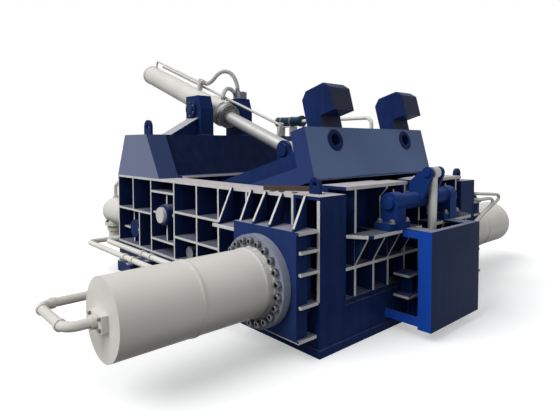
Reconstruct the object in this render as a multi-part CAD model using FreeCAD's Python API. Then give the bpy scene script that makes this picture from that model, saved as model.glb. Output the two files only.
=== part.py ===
import FreeCAD, Part
import math
import os

# Hydraulic scrap metal baler: hinged lid, two opposed press rams, a wide main ram and a turn-out cradle.
# Millimetres. +X points to the front (discharge) side, +Y to the far side, +Z up.
# The origin is the middle of the base's footprint, on the ground. The lid stands part open.

os.makedirs("parts", exist_ok=True)
V = FreeCAD.Vector

# ---------------------------------------------------------------- fits and plate thicknesses
RUNNING_FIT = 0.08          # radial clearance of a shaft in its bush or a rod in its gland
SLIDE_GAP = 5.0             # clearance round a ram in its channel
SIDE_GAP = 0.5              # side clearance of an eye between two cheeks
SEAT_GAP = 0.3              # gap under a piece that rests on a curved neighbour
RIB = 25.0                  # stiffening ribs
WEB = 30.0                  # wall plates behind the ribs
LINER = 20.0                # wear plates inside the chamber
FLANGE = 28.0               # top flanges of the walls
GUSSET = 22.0               # triangular gussets
BEAM_PLATE = 25.0           # plates of the box beams

# ---------------------------------------------------------------- base and walls
BASE_LENGTH = 3600.0
BASE_WIDTH = 2500.0
BASE_HEIGHT = 330.0
SKID_HEIGHT = 60.0
BASE_STEP = 18.0            # how far the skid plate stands out of the beams above it
BEAM_WIDTH = 220.0
CROSS_BEAMS = 6

WALL_INSET = 20.0           # from the base's edge to a side wall's outer face
WALL_DEPTH = 300.0          # from a side wall's outer face to the chamber
WALL_TOP = 1206.0
FRONT_TOP = 1262.0          # the front wall stands a little higher than the side walls
FRONT_DEPTH = 282.0

FRONT_X = BASE_LENGTH / 2
REAR_X = -BASE_LENGTH / 2
OUTER_Y = BASE_WIDTH / 2 - WALL_INSET
INNER_Y = OUTER_Y - WALL_DEPTH
WEB_Y = INNER_Y + LINER
FACE_X = FRONT_X - BASE_STEP
CHAMBER_FRONT_X = FACE_X - FRONT_DEPTH

# ---------------------------------------------------------------- chamber, press channel and rams
FLOOR_TOP = BASE_HEIGHT
FLOOR_PLATE = 40.0
CHANNEL_DEPTH = 405.0       # along X, between the front wall and the main ram at its stop
RAM_TOP = 700.0
RAM_BOTTOM = FLOOR_TOP + SLIDE_GAP
CHANNEL_REAR_X = CHAMBER_FRONT_X - CHANNEL_DEPTH
MAIN_STROKE = 1480.0
MAIN_STOP_GAP = 50.0        # between the main ram at its stop and the press rams' path
MAIN_RAM_LENGTH = 900.0
MAIN_RAM_SHOE = 30.0
RAM_FACE = 45.0             # thickness of a ram's face plate
PRESS_STROKE = 675.0
PRESS_RAM_LENGTH = 385.0
MAIN_FACE_X = CHANNEL_REAR_X - MAIN_STOP_GAP - MAIN_STROKE
MAIN_BACK_X = MAIN_FACE_X - MAIN_RAM_LENGTH
BULKHEAD_X = MAIN_BACK_X - 40.0
HOOD_UNDERSIDE = RAM_TOP + 15.0
COVER_X = BULKHEAD_X - 114.0
COVER_Z = 528.0
COVER_R = 115.0
COVER_SUNK = 70.0           # how deep a cover's face lies behind the ribs' edges

# ---------------------------------------------------------------- opposed press cylinders, along Y
PRESS_X = CHAMBER_FRONT_X - 175.0
PRESS_Z = 536.0
PRESS_BARREL_R = 264.0
PRESS_BORE_R = 205.0
PRESS_ROD_R = 140.0
PRESS_BARREL_LENGTH = 1166.0
PRESS_CAP_THICKNESS = 90.0
PRESS_PISTON = 160.0
PISTON_GAP = 12.0           # between a piston and its cylinder's end, run right back
PISTON_FIT = 0.1
PRESS_FLANGE_R = 365.0
PRESS_FLANGE_T = 70.0
WELD_RING_RISE = 5.0
WELD_RING_WIDTH = 18.0
FLANGE_SCREWS = 22
SCREW_CIRCLE_R = 318.0
SCREW_R = 18.0
SCREW_HEAD_R = 27.0
SCREW_HEAD_H = 36.0
SCREW_GRIP = 60.0           # how far a screw goes into the mount

MOUNT_STAND_OFF = 206.0     # from the wall's outer face to the mount's bolting face
MOUNT_PLATE = 111.0
MOUNT_REAR_X = CHANNEL_REAR_X - 96.0
MOUNT_FRONT_X = FACE_X - 12.0
MOUNT_BOTTOM = 154.0
MOUNT_TOP = 966.0
MOUNT_SHELVES_Z = (400.0, 640.0, 800.0)
MOUNT_SHELF_SET_BACK = 22.0  # from the bolting face to the shelves' front ends
MOUNT_GUSSETS_BACK = (1066.0, 784.0, 592.0, 395.0, 131.0)  # at the wall, back from the mount's front end
GUSSET_RAKE = 75.0          # how far forward a gusset leans between the wall and the bolting face
WING_REAR_X = MOUNT_REAR_X - 316.0  # the plate beside the mount's top
WING_PLATE = 30.0
WING_TOP = 905.0
MOUNT_FACE_Y = OUTER_Y + MOUNT_STAND_OFF

PORT_X_LENGTH = 200.0       # block on the cylinder's end cap
PORT_HEIGHT = 105.0
PORT_DEPTH = 40.0
PIPE_R = 31.0
PIPE_BEND = 85.0
PIPE_OUT = 215.0            # from the end cap to the pipe's middle
PIPE_REAR_X = MOUNT_REAR_X - 199.0

# ---------------------------------------------------------------- main cylinders, along X
MAIN_Y = INNER_Y - 300.0    # each side of the middle
MAIN_Z = 525.0
MAIN_BARREL_R = 205.0
MAIN_BORE_R = 150.0
MAIN_ROD_R = 100.0
MAIN_CAP = 70.0
MAIN_PISTON = 120.0
MAIN_END_ROOM = 188.0       # from the piston at full stroke to the gland
MAIN_FLANGE_R = 250.0
MAIN_FLANGE_T = 55.0
MAIN_BARREL_LENGTH = MAIN_CAP + PISTON_GAP + MAIN_PISTON + MAIN_STROKE + MAIN_END_ROOM
MAIN_END_X = BULKHEAD_X - 2 * WEB - MAIN_FLANGE_T - MAIN_BARREL_LENGTH
MAIN_PORT_R = 45.0
MAIN_PORT_RISE = 30.0
REAR_PIPE_RISE = 215.0      # from the ports up to the pipe between them
STAND_IN = 80.0             # from a main cylinder's rear end to its stand's middle
STAND_R = 130.0
STAND_FLANGE_R = 190.0
STAND_FLANGE_Z = (290.0, 340.0)
STAND_COLLAR_R = 155.0
STAND_COLLAR_Z = (210.0, 260.0)

# ---------------------------------------------------------------- lid, drawn shut and then opened
LID_OPEN_DEG = 15.5         # the lid stands this far open at rest
HINGE_X = CHAMBER_FRONT_X - 2060.0
HINGE_Z = 815.0
HINGE_PIN_R = 62.0
HINGE_HUB_R = 85.0
HINGE_BOSS_R = 117.0
HINGE_CAP_R = 87.0
HINGE_CAP_T = 40.0
LID_SIDE_GAP = 12.0
LID_FRONT_GAP = 10.0
LID_BOTTOM = 739.0
LID_LEDGE_Z = 892.0
LID_LEDGE = 10.0
LID_TOP = 1025.0
LID_BLOCK_TOP = 1215.0      # top of the front beam
LID_BLOCK_DEPTH = 180.0
LID_REAR_X = HINGE_X + 120.0
HOOD_FRONT_X = HINGE_X - 145.0
LID_PLATE = 40.0
LID_CELLS = 5
LID_RIB = 30.0
LID_ARM = 70.0              # thickness of a hinge arm
LID_FRONT_X = CHAMBER_FRONT_X - LID_FRONT_GAP
LID_HALF = INNER_Y - LID_SIDE_GAP

HOOK_Y = LID_HALF - 363.0
HOOK_WIDTH = 270.0
HOOK_REACH = 170.0          # how far a hook's head stands out past the lid's front
HOOK_UNDERSIDE = 1320.0
HOOK_TOP = 1588.0
HOOK_BACK_CHAMFER = 65.0
HOOK_FRONT_CHAMFER = 60.0
RING_Z = 1095.0
RING_R = 95.0
RING_HOLE_R = 58.0
RING_STAND = 9.0
RING_HOLE_DEPTH = 130.0

# ---------------------------------------------------------------- portal, posts and lid cylinder
PORTAL_TOP = 1714.0
PORTAL_FOOT_FRONT_X = HINGE_X - 125.0
PORTAL_TOP_FRONT_X = HINGE_X - 427.0
PORTAL_TOP_REAR_X = HINGE_X - 1005.0
FOOT_PLATE_FRONT_X = HINGE_X - 40.0
PILLAR_WIDTH = 250.0
BEAM_RECESS = 30.0
PORTAL_EYE_X = (HINGE_X - 640.0, HINGE_X - 470.0)
PORTAL_EYE_IN = 80.0        # from the portal's end face to the eye
PORTAL_EYE_TOP = 1860.0
EYE_HOLE_R = 32.0

TRUNNION_X = HINGE_X - 730.0
TRUNNION_Z = 2060.0
POST_INNER_Y = 230.0
POST_WIDTH = 195.0
POST_FRONT_X = TRUNNION_X + 220.0
POST_REAR_X = TRUNNION_X - 140.0
POST_TOP_CUT = 60.0         # the post's top slants back by this much
POST_TOP = 2235.0
POST_GUSSET_Y = INNER_Y - 100.0
RAKE_X = (POST_REAR_X + 30.0, POST_FRONT_X - 60.0)
RAKE_RIBS_IN = 30.0         # from the raked plate's edges to the ribs under it
RAKE_PLATE = 29.0           # measured upright
TRUNNION_R = 70.0
TRUNNION_COLLAR_R = 178.0
TRUNNION_CAP_R = 115.0
POST_GUSSET_Z = TRUNNION_Z - TRUNNION_CAP_R - 3.0
TRUNNION_CAP_T = 24.0

LID_PIN_X = HINGE_X + 730.0  # pin at the rod's end, with the lid at rest
LID_PIN_Z = 1530.0
LID_PIN_R = 50.0
LID_BARREL_R = 150.0
LID_BORE_R = 112.0
LID_ROD_R = 78.0
LID_BARREL_BACK = 2090.0    # from the trunnion to the barrel's rear end
LID_BARREL_AHEAD = 225.0
LID_BARREL_CAP = 60.0
LID_GLAND_R = 161.0
LID_GLAND_T = 60.0
LID_PISTON = 120.0
LID_PISTON_BACK = 430.0     # from the trunnion back to the piston's front, at rest
LID_EYE_R = 98.0
LID_EYE_WIDTH = 160.0
CLEVIS_CHEEK = 40.0
CLEVIS_R = 110.0
CLEVIS_FOOT = 430.0
STROKE_ROD_R = 17.0
STROKE_ROD_RISE = 196.0     # above the cylinder's axis
STROKE_ROD_SIDE = 62.0
STROKE_ROD_BACK = 1850.0    # from the trunnion to its rear end, at rest
STROKE_LUG_BACK = 320.0     # from the lid's pin back to the lug that holds the measuring rod
STROKE_LUG_R = 27.0
LINE_R = 15.0
LINE_RISE = 110.0           # from the barrel's top to the oil line's middle
LINE_REAR_IN = 140.0        # from the barrel's rear end to the line's riser
LINE_BEND = 30.0
LINE_BLOCK_AT = -560.0      # from the trunnion to the block at the oil line's front end
LINE_BLOCK_R = 42.0
LINE_BLOCK_TOP = 310.0      # above the cylinder's axis
HOSE_R = 18.0
MANIFOLD_X = (TRUNNION_X + 12.0, TRUNNION_X + 170.0)
MANIFOLD_Y = (250.0, 370.0)
MANIFOLD_HEIGHT = 95.0

# ---------------------------------------------------------------- turn-out gear on the front wall
SHAFT_X = FACE_X + 93.0
SHAFT_Z = 1105.0
SHAFT_R = 50.0
SHAFT_TUBE_R = 70.0
BEARING_Y = 430.0
BEARING_WIDTH = 120.0
BEARING_R = 90.0
BEARING_FOOT = 290.0
BEARING_FOOT_T = 60.0
SHELF_TOP = 888.0
SHELF_T = 28.0
SHELF_DEPTH = 170.0
SHELF_END_TAPER = (90.0, 22.0)    # along Y from the shelf's end, and in from its front edge
SHELF_CORNER = 40.0
SHELF_INNER_Y = 110.0       # the two shelves leave this much room beside the lift rod
SHELF_GUSSETS_IN = (115.0, 349.0, 560.0, 760.0)  # from the shelf's outer end
SHELF_GUSSET_DEPTH = 118.0
SHELF_GUSSET_LIP = 20.0
SHELF_GUSSET_DROP = 230.0
LEVER_EYE_X = SHAFT_X + 117.0
LEVER_EYE_Z = 1345.0
LEVER_EYE_R = 52.0
LEVER_T = 30.0
LEVER_GAP = 150.0           # between the two levers
LEVER_PIN_R = 24.0
ROD_EYE_WIDTH = 90.0
CRADLE_HALF = 230.0
CRADLE_PLATE = 60.0
CRADLE_TOP = 1000.0
CRADLE_TIP_X = CHANNEL_REAR_X + 25.0
CRADLE_ARM_HALF = 65.0
CRADLE_GAP = 10.0
CRADLE_TIP_GAP = 32.0       # room for the tip to swing back as it lifts
FOOT_PIN_X = FACE_X + 193.0
FOOT_PIN_Z = 130.0
FOOT_PIN_R = 25.0
FOOT_EYE_R = 55.0
FOOT_EYE_WIDTH = 80.0
FOOT_CHEEK = 25.0
LIFT_BARREL_R = 70.0
LIFT_BORE_R = 50.0
LIFT_ROD_R = 37.0
LIFT_BARREL_BOTTOM = 205.0
LIFT_BARREL_TOP = 815.0
LIFT_PISTON = 70.0

# ---------------------------------------------------------------- guard box
GUARD_HALF = 410.0
GUARD_FRONT_X = FACE_X + 439.0
GUARD_BOTTOM = 88.0
GUARD_TOP = 896.0
GUARD_PLATE = 12.0
GUARD_STILE = 120.0
GUARD_ARM = 56.0
GUARD_ARM_T = 20.0

# ---------------------------------------------------------------- pipes, filter and lifting eyes
SUPPLY_Z = 350.0
SUPPLY_Y = (-OUTER_Y - 140.0, -OUTER_Y - 350.0)
SUPPLY_REAR_X = (REAR_X - 45.0, REAR_X - 125.0)
SUPPLY_TURN_Y = -INNER_Y - 80.0
SUPPLY_BLOCK_X = (HINGE_X - 320.0, HINGE_X)
SUPPLY_BLOCK_DEPTH = 110.0
SUPPLY_BLOCK_EDGE = 30.0    # past the outer pipe
FILTER_R = 70.0
FILTER_LENGTH = 490.0
FILTER_X = HINGE_X - 705.0
FILTER_Y = OUTER_Y - 130.0
FILTER_Z = 1930.0
FILTER_PIPE_END_X = HINGE_X + 1060.0
LUG_X = FACE_X - 182.0
LUG_Y = 130.0 - OUTER_Y
LUG_TOP = 1338.0
LUG_T = 30.0
LUG_HALF = 55.0
FAR_RING_X = FACE_X - 82.0
FAR_RING_Y = INNER_Y + 60.0
FAR_RING_R = 60.0
FAR_RING_HOLE_R = 22.0
HANDLE_START = (FACE_X - 692.0, 40.0 - OUTER_Y)
HANDLE_END = (FACE_X - 307.0, -INNER_Y - 30.0)
HANDLE_LEG = 45.0
HANDLE_T = 7.0


# ---------------------------------------------------------------- ribs of the side and front walls
HINGE_CELL_X = (HINGE_X - 330.0, HINGE_X + 200.0)
HINGE_CELL_Z = (523.0, 1070.0)
WALL_SILL = BASE_HEIGHT + 33.0
PIN_CELL_X = (REAR_X + RIB / 2, HINGE_X - 639.0)
PIN_CELL_TOP = 800.0
RIB_COLUMNS = [
    # place along X, lower end, upper end
    (PIN_CELL_X[0], BASE_HEIGHT, WALL_TOP),
    (HINGE_X - 798.0, PIN_CELL_TOP, WALL_TOP),
    (PIN_CELL_X[1], BASE_HEIGHT, PIN_CELL_TOP),
    (HINGE_CELL_X[0], BASE_HEIGHT, WALL_TOP),
    (HINGE_CELL_X[1], BASE_HEIGHT, WALL_TOP),
    (HINGE_X + 652.0, BASE_HEIGHT, WALL_TOP),
    (HINGE_X + 1032.0, BASE_HEIGHT, WALL_TOP),
    (HINGE_X + 1465.0, BASE_HEIGHT, WALL_TOP),
    (CHAMBER_FRONT_X - RIB / 2, RAM_TOP, WALL_TOP),
]
RIB_SHELVES = [
    # top, from X, to X
    (PIN_CELL_TOP, REAR_X, HINGE_CELL_X[0]),
    (HINGE_CELL_Z[1], HINGE_CELL_X[0], HINGE_CELL_X[1]),
    (HINGE_CELL_Z[0], HINGE_CELL_X[0], HINGE_CELL_X[1]),
    (881.0, HINGE_CELL_X[1], HINGE_X + 1032.0),
    (611.0, HINGE_CELL_X[1], HINGE_X + 1032.0),
    (WALL_SILL, REAR_X, HINGE_X + 1465.0),
]
WALL_BOSS_X = HINGE_X + 310.0
WALL_BOSS_Z = 420.0
WALL_BOSS_R = 70.0
WALL_BOSS_SUNK = 120.0      # from the ribs' edges to the boss's face

FRONT_SHELVES_Z = (375.0, 625.0)
FRONT_TALL_RIBS_Y = (120.0, INNER_Y - 115.0)
FRONT_LOW_RIBS_Y = (370.0, INNER_Y - 355.0)
FRONT_KINKED_RIB_Y = 391.0
KINK_BACK = 70.0            # how far the kinked rib steps back behind the bearing
KINK_Z = (1146.0, 1220.0)
POCKET_REAR = 25.0          # from the chamber's front to the pocket in a corner column
POCKET_BOTTOM = 416.0


# ================================================================ building blocks
def block(x0, x1, y0, y1, z0, z1):
    """Box between two values on each axis."""
    return Part.makeBox(x1 - x0, y1 - y0, z1 - z0, V(x0, y0, z0))


def drum(start, end, radius):
    """Round bar from start to end."""
    way = end - start
    return Part.makeCylinder(radius, way.Length, start, way)


def tube(start, end, outer, inner):
    """Round tube from start to end."""
    return drum(start, end, outer).cut(drum(start, end, inner))


def plate_xz(points, y0, y1):
    """Flat plate with an outline in X and Z, from y0 to y1."""
    corners = [V(x, y0, z) for x, z in points]
    return Part.Face(Part.makePolygon(corners + corners[:1])).extrude(V(0, y1 - y0, 0))


def plate_yz(points, x0, x1):
    """Flat plate with an outline in Y and Z, from x0 to x1."""
    corners = [V(x0, y, z) for y, z in points]
    return Part.Face(Part.makePolygon(corners + corners[:1])).extrude(V(x1 - x0, 0, 0))


def plate_xy(points, z0, z1):
    """Flat plate with an outline in X and Y, from z0 to z1."""
    corners = [V(x, y, z0) for x, y in points]
    return Part.Face(Part.makePolygon(corners + corners[:1])).extrude(V(0, 0, z1 - z0))


def weld(shapes):
    """One solid from pieces that are welded together."""
    return shapes[0].multiFuse(shapes[1:]).removeSplitter()


def group(shapes):
    """Separate solids that share one node."""
    return Part.makeCompound(shapes)


def far_side(shape):
    """The same piece on the far side of the machine."""
    return shape.mirror(V(0, 0, 0), V(0, 1, 0))


def opened(shape):
    """A piece of the lid, turned up about the lid's hinge."""
    turned = shape.copy()
    turned.rotate(V(HINGE_X, 0, HINGE_Z), V(0, -1, 0), LID_OPEN_DEG)
    return turned


def pipe(points, radius, bend):
    """Steel pipe: straight runs joined by elbows of one bend radius."""
    edges = []
    here = points[0]
    for before, corner, after in zip(points, points[1:], points[2:]):
        back = (before - corner).normalize()
        ahead = (after - corner).normalize()
        half = back.getAngle(ahead) / 2
        start = corner + back * (bend / math.tan(half))
        end = corner + ahead * (bend / math.tan(half))
        middle = corner + (back + ahead).normalize() * (bend / math.sin(half) - bend)
        edges.append(Part.LineSegment(here, start).toShape())
        edges.append(Part.Arc(start, middle, end).toShape())
        here = end
    edges.append(Part.LineSegment(here, points[-1]).toShape())
    profile = Part.Wire(Part.makeCircle(radius, points[0], points[1] - points[0]))
    return Part.Wire(edges).makePipeShell([profile], True, True)


def save(name, shape):
    """Write one node."""
    shape.exportStep(os.path.join("parts", name + ".step"))


# ================================================================ base, floor and walls
def base_frame():
    """Welded skid: a thick plate frame under box beams."""
    half_x = BASE_LENGTH / 2
    half_y = BASE_WIDTH / 2
    beam_x = half_x - BASE_STEP
    beam_y = half_y - BASE_STEP
    top = BASE_HEIGHT - FLOOR_PLATE
    skid = block(-half_x, half_x, -half_y, half_y, 0, SKID_HEIGHT)
    skid = skid.cut(block(BEAM_WIDTH - half_x, half_x - BEAM_WIDTH, BEAM_WIDTH - half_y, half_y - BEAM_WIDTH,
                          0, SKID_HEIGHT))
    pieces = [skid, block(-BEAM_WIDTH / 2, BEAM_WIDTH / 2, -half_y, half_y, 0, SKID_HEIGHT)]
    for side in (-1, 1):
        y0, y1 = sorted((side * beam_y, side * (beam_y - BEAM_WIDTH)))
        pieces.append(block(-beam_x, beam_x, y0, y1, SKID_HEIGHT, top))
    step = (2 * beam_x - BEAM_WIDTH) / (CROSS_BEAMS - 1)
    for n in range(CROSS_BEAMS):
        x = n * step - beam_x
        pieces.append(block(x, x + BEAM_WIDTH, -beam_y, beam_y, SKID_HEIGHT, top))
    return weld(pieces)


def cradle_well():
    """Room for the turn-out cradle in the floor and in the front wall."""
    half = CRADLE_HALF + CRADLE_GAP
    floor = block(CRADLE_TIP_X - CRADLE_TIP_GAP, CHAMBER_FRONT_X, -half, half,
                  FLOOR_TOP - CRADLE_PLATE - CRADLE_GAP, FLOOR_TOP)
    pocket = block(CHAMBER_FRONT_X, CHAMBER_FRONT_X + CRADLE_PLATE + CRADLE_GAP, -half, half,
                   FLOOR_TOP - CRADLE_PLATE - CRADLE_GAP, FRONT_TOP)
    slot_half = CRADLE_ARM_HALF + CRADLE_GAP
    slot = block(CHAMBER_FRONT_X, FACE_X + RIB, -slot_half, slot_half, SHELF_TOP, FRONT_TOP)
    return floor.fuse(pocket).fuse(slot)


def chamber_floor():
    """Wear plate under the rams, cut out where the cradle lies flush with it."""
    plate = block(BULKHEAD_X, CHAMBER_FRONT_X, -INNER_Y, INNER_Y, FLOOR_TOP - FLOOR_PLATE, FLOOR_TOP)
    return plate.cut(cradle_well())


def ram_tunnel(wall):
    """Press ram's way through a side wall, grown by a plate thickness all round."""
    return block(CHANNEL_REAR_X - wall, CHAMBER_FRONT_X, -OUTER_Y, -INNER_Y,
                 FLOOR_TOP - wall, RAM_TOP + SLIDE_GAP + wall)


def hinge_bore():
    """Bore for the lid's shaft through both side walls."""
    return drum(V(HINGE_X, -BASE_WIDTH, HINGE_Z), V(HINGE_X, BASE_WIDTH, HINGE_Z), HINGE_PIN_R + RUNNING_FIT)


def near_side_wall():
    """Web plate with a top flange, a deep grid of ribs and the hinge boss."""
    outer = -OUTER_Y
    back = -WEB_Y - WEB
    low = BASE_HEIGHT - FLOOR_PLATE
    pieces = [block(REAR_X, CHAMBER_FRONT_X, back, -WEB_Y, low, WALL_TOP)]
    pieces.append(block(REAR_X, CHAMBER_FRONT_X, outer, -INNER_Y, WALL_TOP - FLANGE, WALL_TOP))
    pieces.append(block(REAR_X, CHAMBER_FRONT_X, outer, -INNER_Y, low, BASE_HEIGHT))
    for x, z0, z1 in RIB_COLUMNS:
        pieces.append(block(x - RIB / 2, x + RIB / 2, outer, back, z0, z1 - FLANGE))
    for z, x0, x1 in RIB_SHELVES:
        pieces.append(block(x0, x1, outer, back, z - RIB, z))
    inset = outer + RIB
    pieces.append(block(HINGE_X - RIB / 2, HINGE_X + RIB / 2, inset, back, *HINGE_CELL_Z))
    pieces.append(block(*HINGE_CELL_X, inset, back, HINGE_Z - RIB / 2, HINGE_Z + RIB / 2))
    sunk = outer + COVER_SUNK
    pieces.append(block(COVER_X - RIB / 2, COVER_X + RIB / 2, sunk, back, WALL_SILL, PIN_CELL_TOP - RIB))
    pieces.append(block(*PIN_CELL_X, sunk, back, COVER_Z - RIB / 2, COVER_Z + RIB / 2))
    pieces.append(drum(V(WALL_BOSS_X, outer + WALL_BOSS_SUNK, WALL_BOSS_Z), V(WALL_BOSS_X, -WEB_Y, WALL_BOSS_Z),
                       WALL_BOSS_R))
    pieces.append(ram_tunnel(RIB).common(block(REAR_X, CHAMBER_FRONT_X, outer, -INNER_Y, low, WALL_TOP)))
    pieces.append(drum(V(HINGE_X, outer - RIB, HINGE_Z), V(HINGE_X, -WEB_Y, HINGE_Z), HINGE_BOSS_R))
    cover = drum(V(COVER_X, outer, COVER_Z), V(COVER_X, back, COVER_Z), COVER_R + SEAT_GAP)
    return weld(pieces).cut(ram_tunnel(0)).cut(hinge_bore()).cut(cover)


def near_wear_plate():
    """Chamber lining on the near side, cut out for the ram and the lid's hub."""
    top = WALL_TOP - FLANGE
    plate = block(BULKHEAD_X, CHAMBER_FRONT_X, -WEB_Y, -INNER_Y, BASE_HEIGHT, top)
    plate = plate.cut(ram_tunnel(RIB))
    return plate.cut(hinge_bore())


def front_wall():
    """Two corner columns, a recessed plate between them, ribs, and a raised top flange."""
    low = BASE_HEIGHT - FLOOR_PLATE
    pieces = [block(CHAMBER_FRONT_X, CHAMBER_FRONT_X + 3 * WEB, -INNER_Y, INNER_Y, low, FRONT_TOP)]
    column = block(CHAMBER_FRONT_X, FACE_X, -OUTER_Y, -INNER_Y, low, WALL_TOP)
    column = column.cut(block(CHAMBER_FRONT_X + POCKET_REAR, FACE_X - WEB, -OUTER_Y, -WEB_Y - WEB,
                              POCKET_BOTTOM, WALL_TOP - FLANGE))
    pieces += [column, far_side(column)]
    pieces.append(block(CHAMBER_FRONT_X, FACE_X, -INNER_Y, INNER_Y, FRONT_TOP - FLANGE, FRONT_TOP))
    pieces.append(block(CHAMBER_FRONT_X, FACE_X, -INNER_Y, INNER_Y, low, BASE_HEIGHT))
    for z in FRONT_SHELVES_Z:
        pieces.append(block(CHAMBER_FRONT_X, FACE_X, -INNER_Y, INNER_Y, z - RIB, z))
    flange_low = FRONT_TOP - FLANGE
    ribs = []
    for y in FRONT_TALL_RIBS_Y:
        ribs.append(block(CHAMBER_FRONT_X, FACE_X, y - RIB / 2, y + RIB / 2, BASE_HEIGHT, flange_low))
    for y in FRONT_LOW_RIBS_Y:
        ribs.append(block(CHAMBER_FRONT_X, FACE_X, y - RIB / 2, y + RIB / 2, BASE_HEIGHT, SHELF_TOP))
    kinked = [(CHAMBER_FRONT_X, SHELF_TOP), (FACE_X - KINK_BACK, SHELF_TOP), (FACE_X - KINK_BACK, KINK_Z[0]),
              (FACE_X, KINK_Z[1]), (FACE_X, flange_low), (CHAMBER_FRONT_X, flange_low)]
    ribs.append(plate_xz(kinked, FRONT_KINKED_RIB_Y - RIB / 2, FRONT_KINKED_RIB_Y + RIB / 2))
    pieces += ribs + [far_side(rib) for rib in ribs]
    return weld(pieces).cut(cradle_well())


def bearing_shelf():
    """Two shelf plates on the front wall with gussets, which carry the shaft's bearings beside the lift rod."""
    edge = FACE_X + SHELF_DEPTH
    along_end, off_edge = SHELF_END_TAPER
    outline = [(FACE_X, -INNER_Y), (edge - off_edge, along_end - INNER_Y),
               (edge, along_end + SHELF_CORNER - INNER_Y), (edge, -SHELF_INNER_Y), (FACE_X, -SHELF_INNER_Y)]
    low = SHELF_TOP - SHELF_T
    pieces = [plate_xy(outline, low, SHELF_TOP)]
    corners = [(FACE_X, low), (FACE_X + SHELF_GUSSET_DEPTH, low),
               (FACE_X + SHELF_GUSSET_DEPTH, low - SHELF_GUSSET_LIP), (FACE_X, low - SHELF_GUSSET_DROP)]
    for inward in SHELF_GUSSETS_IN:
        y = inward - INNER_Y
        pieces.append(plate_xz(corners, y - GUSSET / 2, y + GUSSET / 2))
    near = weld(pieces)
    return group([near, far_side(near)])


def rear_bulkhead():
    """Plate behind the main ram that carries the main cylinders, with decks and ribs to the frame's end."""
    low = BASE_HEIGHT - FLOOR_PLATE
    plate = block(BULKHEAD_X - 2 * WEB, BULKHEAD_X, -INNER_Y, INNER_Y, low, WALL_TOP)
    top = block(REAR_X, BULKHEAD_X, -INNER_Y, INNER_Y, WALL_TOP - FLANGE, WALL_TOP)
    pieces = [plate, top]
    for y in (RIB / 2 - INNER_Y, 0.0, INNER_Y - RIB / 2):
        pieces.append(block(REAR_X, BULKHEAD_X, y - RIB / 2, y + RIB / 2, low, WALL_TOP - FLANGE))
    shelf = MAIN_Z + MAIN_FLANGE_R
    pieces.append(block(REAR_X, BULKHEAD_X, -INNER_Y, INNER_Y, shelf, shelf + RIB))
    body = weld(pieces)
    for side in (-1, 1):
        body = body.cut(drum(V(REAR_X, side * MAIN_Y, MAIN_Z), V(0, side * MAIN_Y, MAIN_Z),
                             MAIN_ROD_R + SLIDE_GAP))
    return body


def ram_hood():
    """Fixed cover over the drawn-back main ram, behind the lid's hinge."""
    deck = block(BULKHEAD_X, HOOD_FRONT_X, -INNER_Y, INNER_Y, HOOD_UNDERSIDE, HOOD_UNDERSIDE + RIB)
    front_x = HOOD_FRONT_X - 2 * RIB
    front = block(front_x - RIB, front_x, -INNER_Y, INNER_Y, HOOD_UNDERSIDE, WALL_TOP)
    return weld([deck, front])


def bulkhead_pin_covers():
    """Round covers over the cross pins that hold the rear bulkhead in the side walls."""
    covers = []
    for side in (-1, 1):
        start = V(COVER_X, side * (WEB_Y + WEB), COVER_Z)
        end = V(COVER_X, side * (OUTER_Y - COVER_SUNK), COVER_Z)
        covers.append(drum(start, end, COVER_R))
    return group(covers)


def raked_gusset(x, low):
    """Upright gusset above the mount that leans forward from the wall to the bolting face."""
    face = -MOUNT_FACE_Y
    wall = -OUTER_Y
    outline = [(face, low), (wall, low), (wall, WALL_TOP), (wall - GUSSET, WALL_TOP), (face, low + GUSSET)]
    corners = [V(x - GUSSET / 2 + GUSSET_RAKE * (wall - y) / MOUNT_STAND_OFF, y, z) for y, z in outline]
    return Part.Face(Part.makePolygon(corners + corners[:1])).extrude(V(GUSSET, 0, 0))


def near_cylinder_mount():
    """Thick bolting plate that stands off the wall on shelves, side plates and gussets."""
    face = -MOUNT_FACE_Y
    wall = -OUTER_Y
    inner = face + MOUNT_PLATE
    pieces = [block(MOUNT_REAR_X, MOUNT_FRONT_X - RIB, face, inner, MOUNT_BOTTOM, MOUNT_TOP)]
    pieces.append(block(MOUNT_REAR_X, MOUNT_FRONT_X, face, wall, MOUNT_TOP - RIB, MOUNT_TOP))
    pieces.append(block(WING_REAR_X, MOUNT_REAR_X, face, wall, WING_TOP - WING_PLATE, WING_TOP))
    pieces.append(block(MOUNT_REAR_X, MOUNT_FRONT_X, face, wall - WALL_INSET, MOUNT_BOTTOM, MOUNT_BOTTOM + RIB))
    for z in MOUNT_SHELVES_Z:
        pieces.append(block(MOUNT_REAR_X, MOUNT_FRONT_X, face + MOUNT_SHELF_SET_BACK, wall, z, z + RIB))
    for x in (MOUNT_REAR_X, MOUNT_FRONT_X - 4 * RIB):
        pieces.append(block(x, x + RIB, inner, wall, BASE_HEIGHT, MOUNT_TOP))
    for back in MOUNT_GUSSETS_BACK:
        x = MOUNT_FRONT_X - back
        low = MOUNT_TOP if x > MOUNT_REAR_X else WING_TOP
        pieces.append(raked_gusset(x, low))
    mount = weld(pieces)
    mount = mount.cut(block(CHANNEL_REAR_X, CHAMBER_FRONT_X, inner, wall, FLOOR_TOP, RAM_TOP + SLIDE_GAP))
    mount = mount.cut(drum(V(PRESS_X, face, PRESS_Z), V(PRESS_X, inner, PRESS_Z), PRESS_ROD_R + SLIDE_GAP))
    for place in screw_places():
        mount = mount.cut(drum(place, place + V(0, PRESS_FLANGE_T + SCREW_GRIP, 0), SCREW_R + RUNNING_FIT))
    return mount


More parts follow.
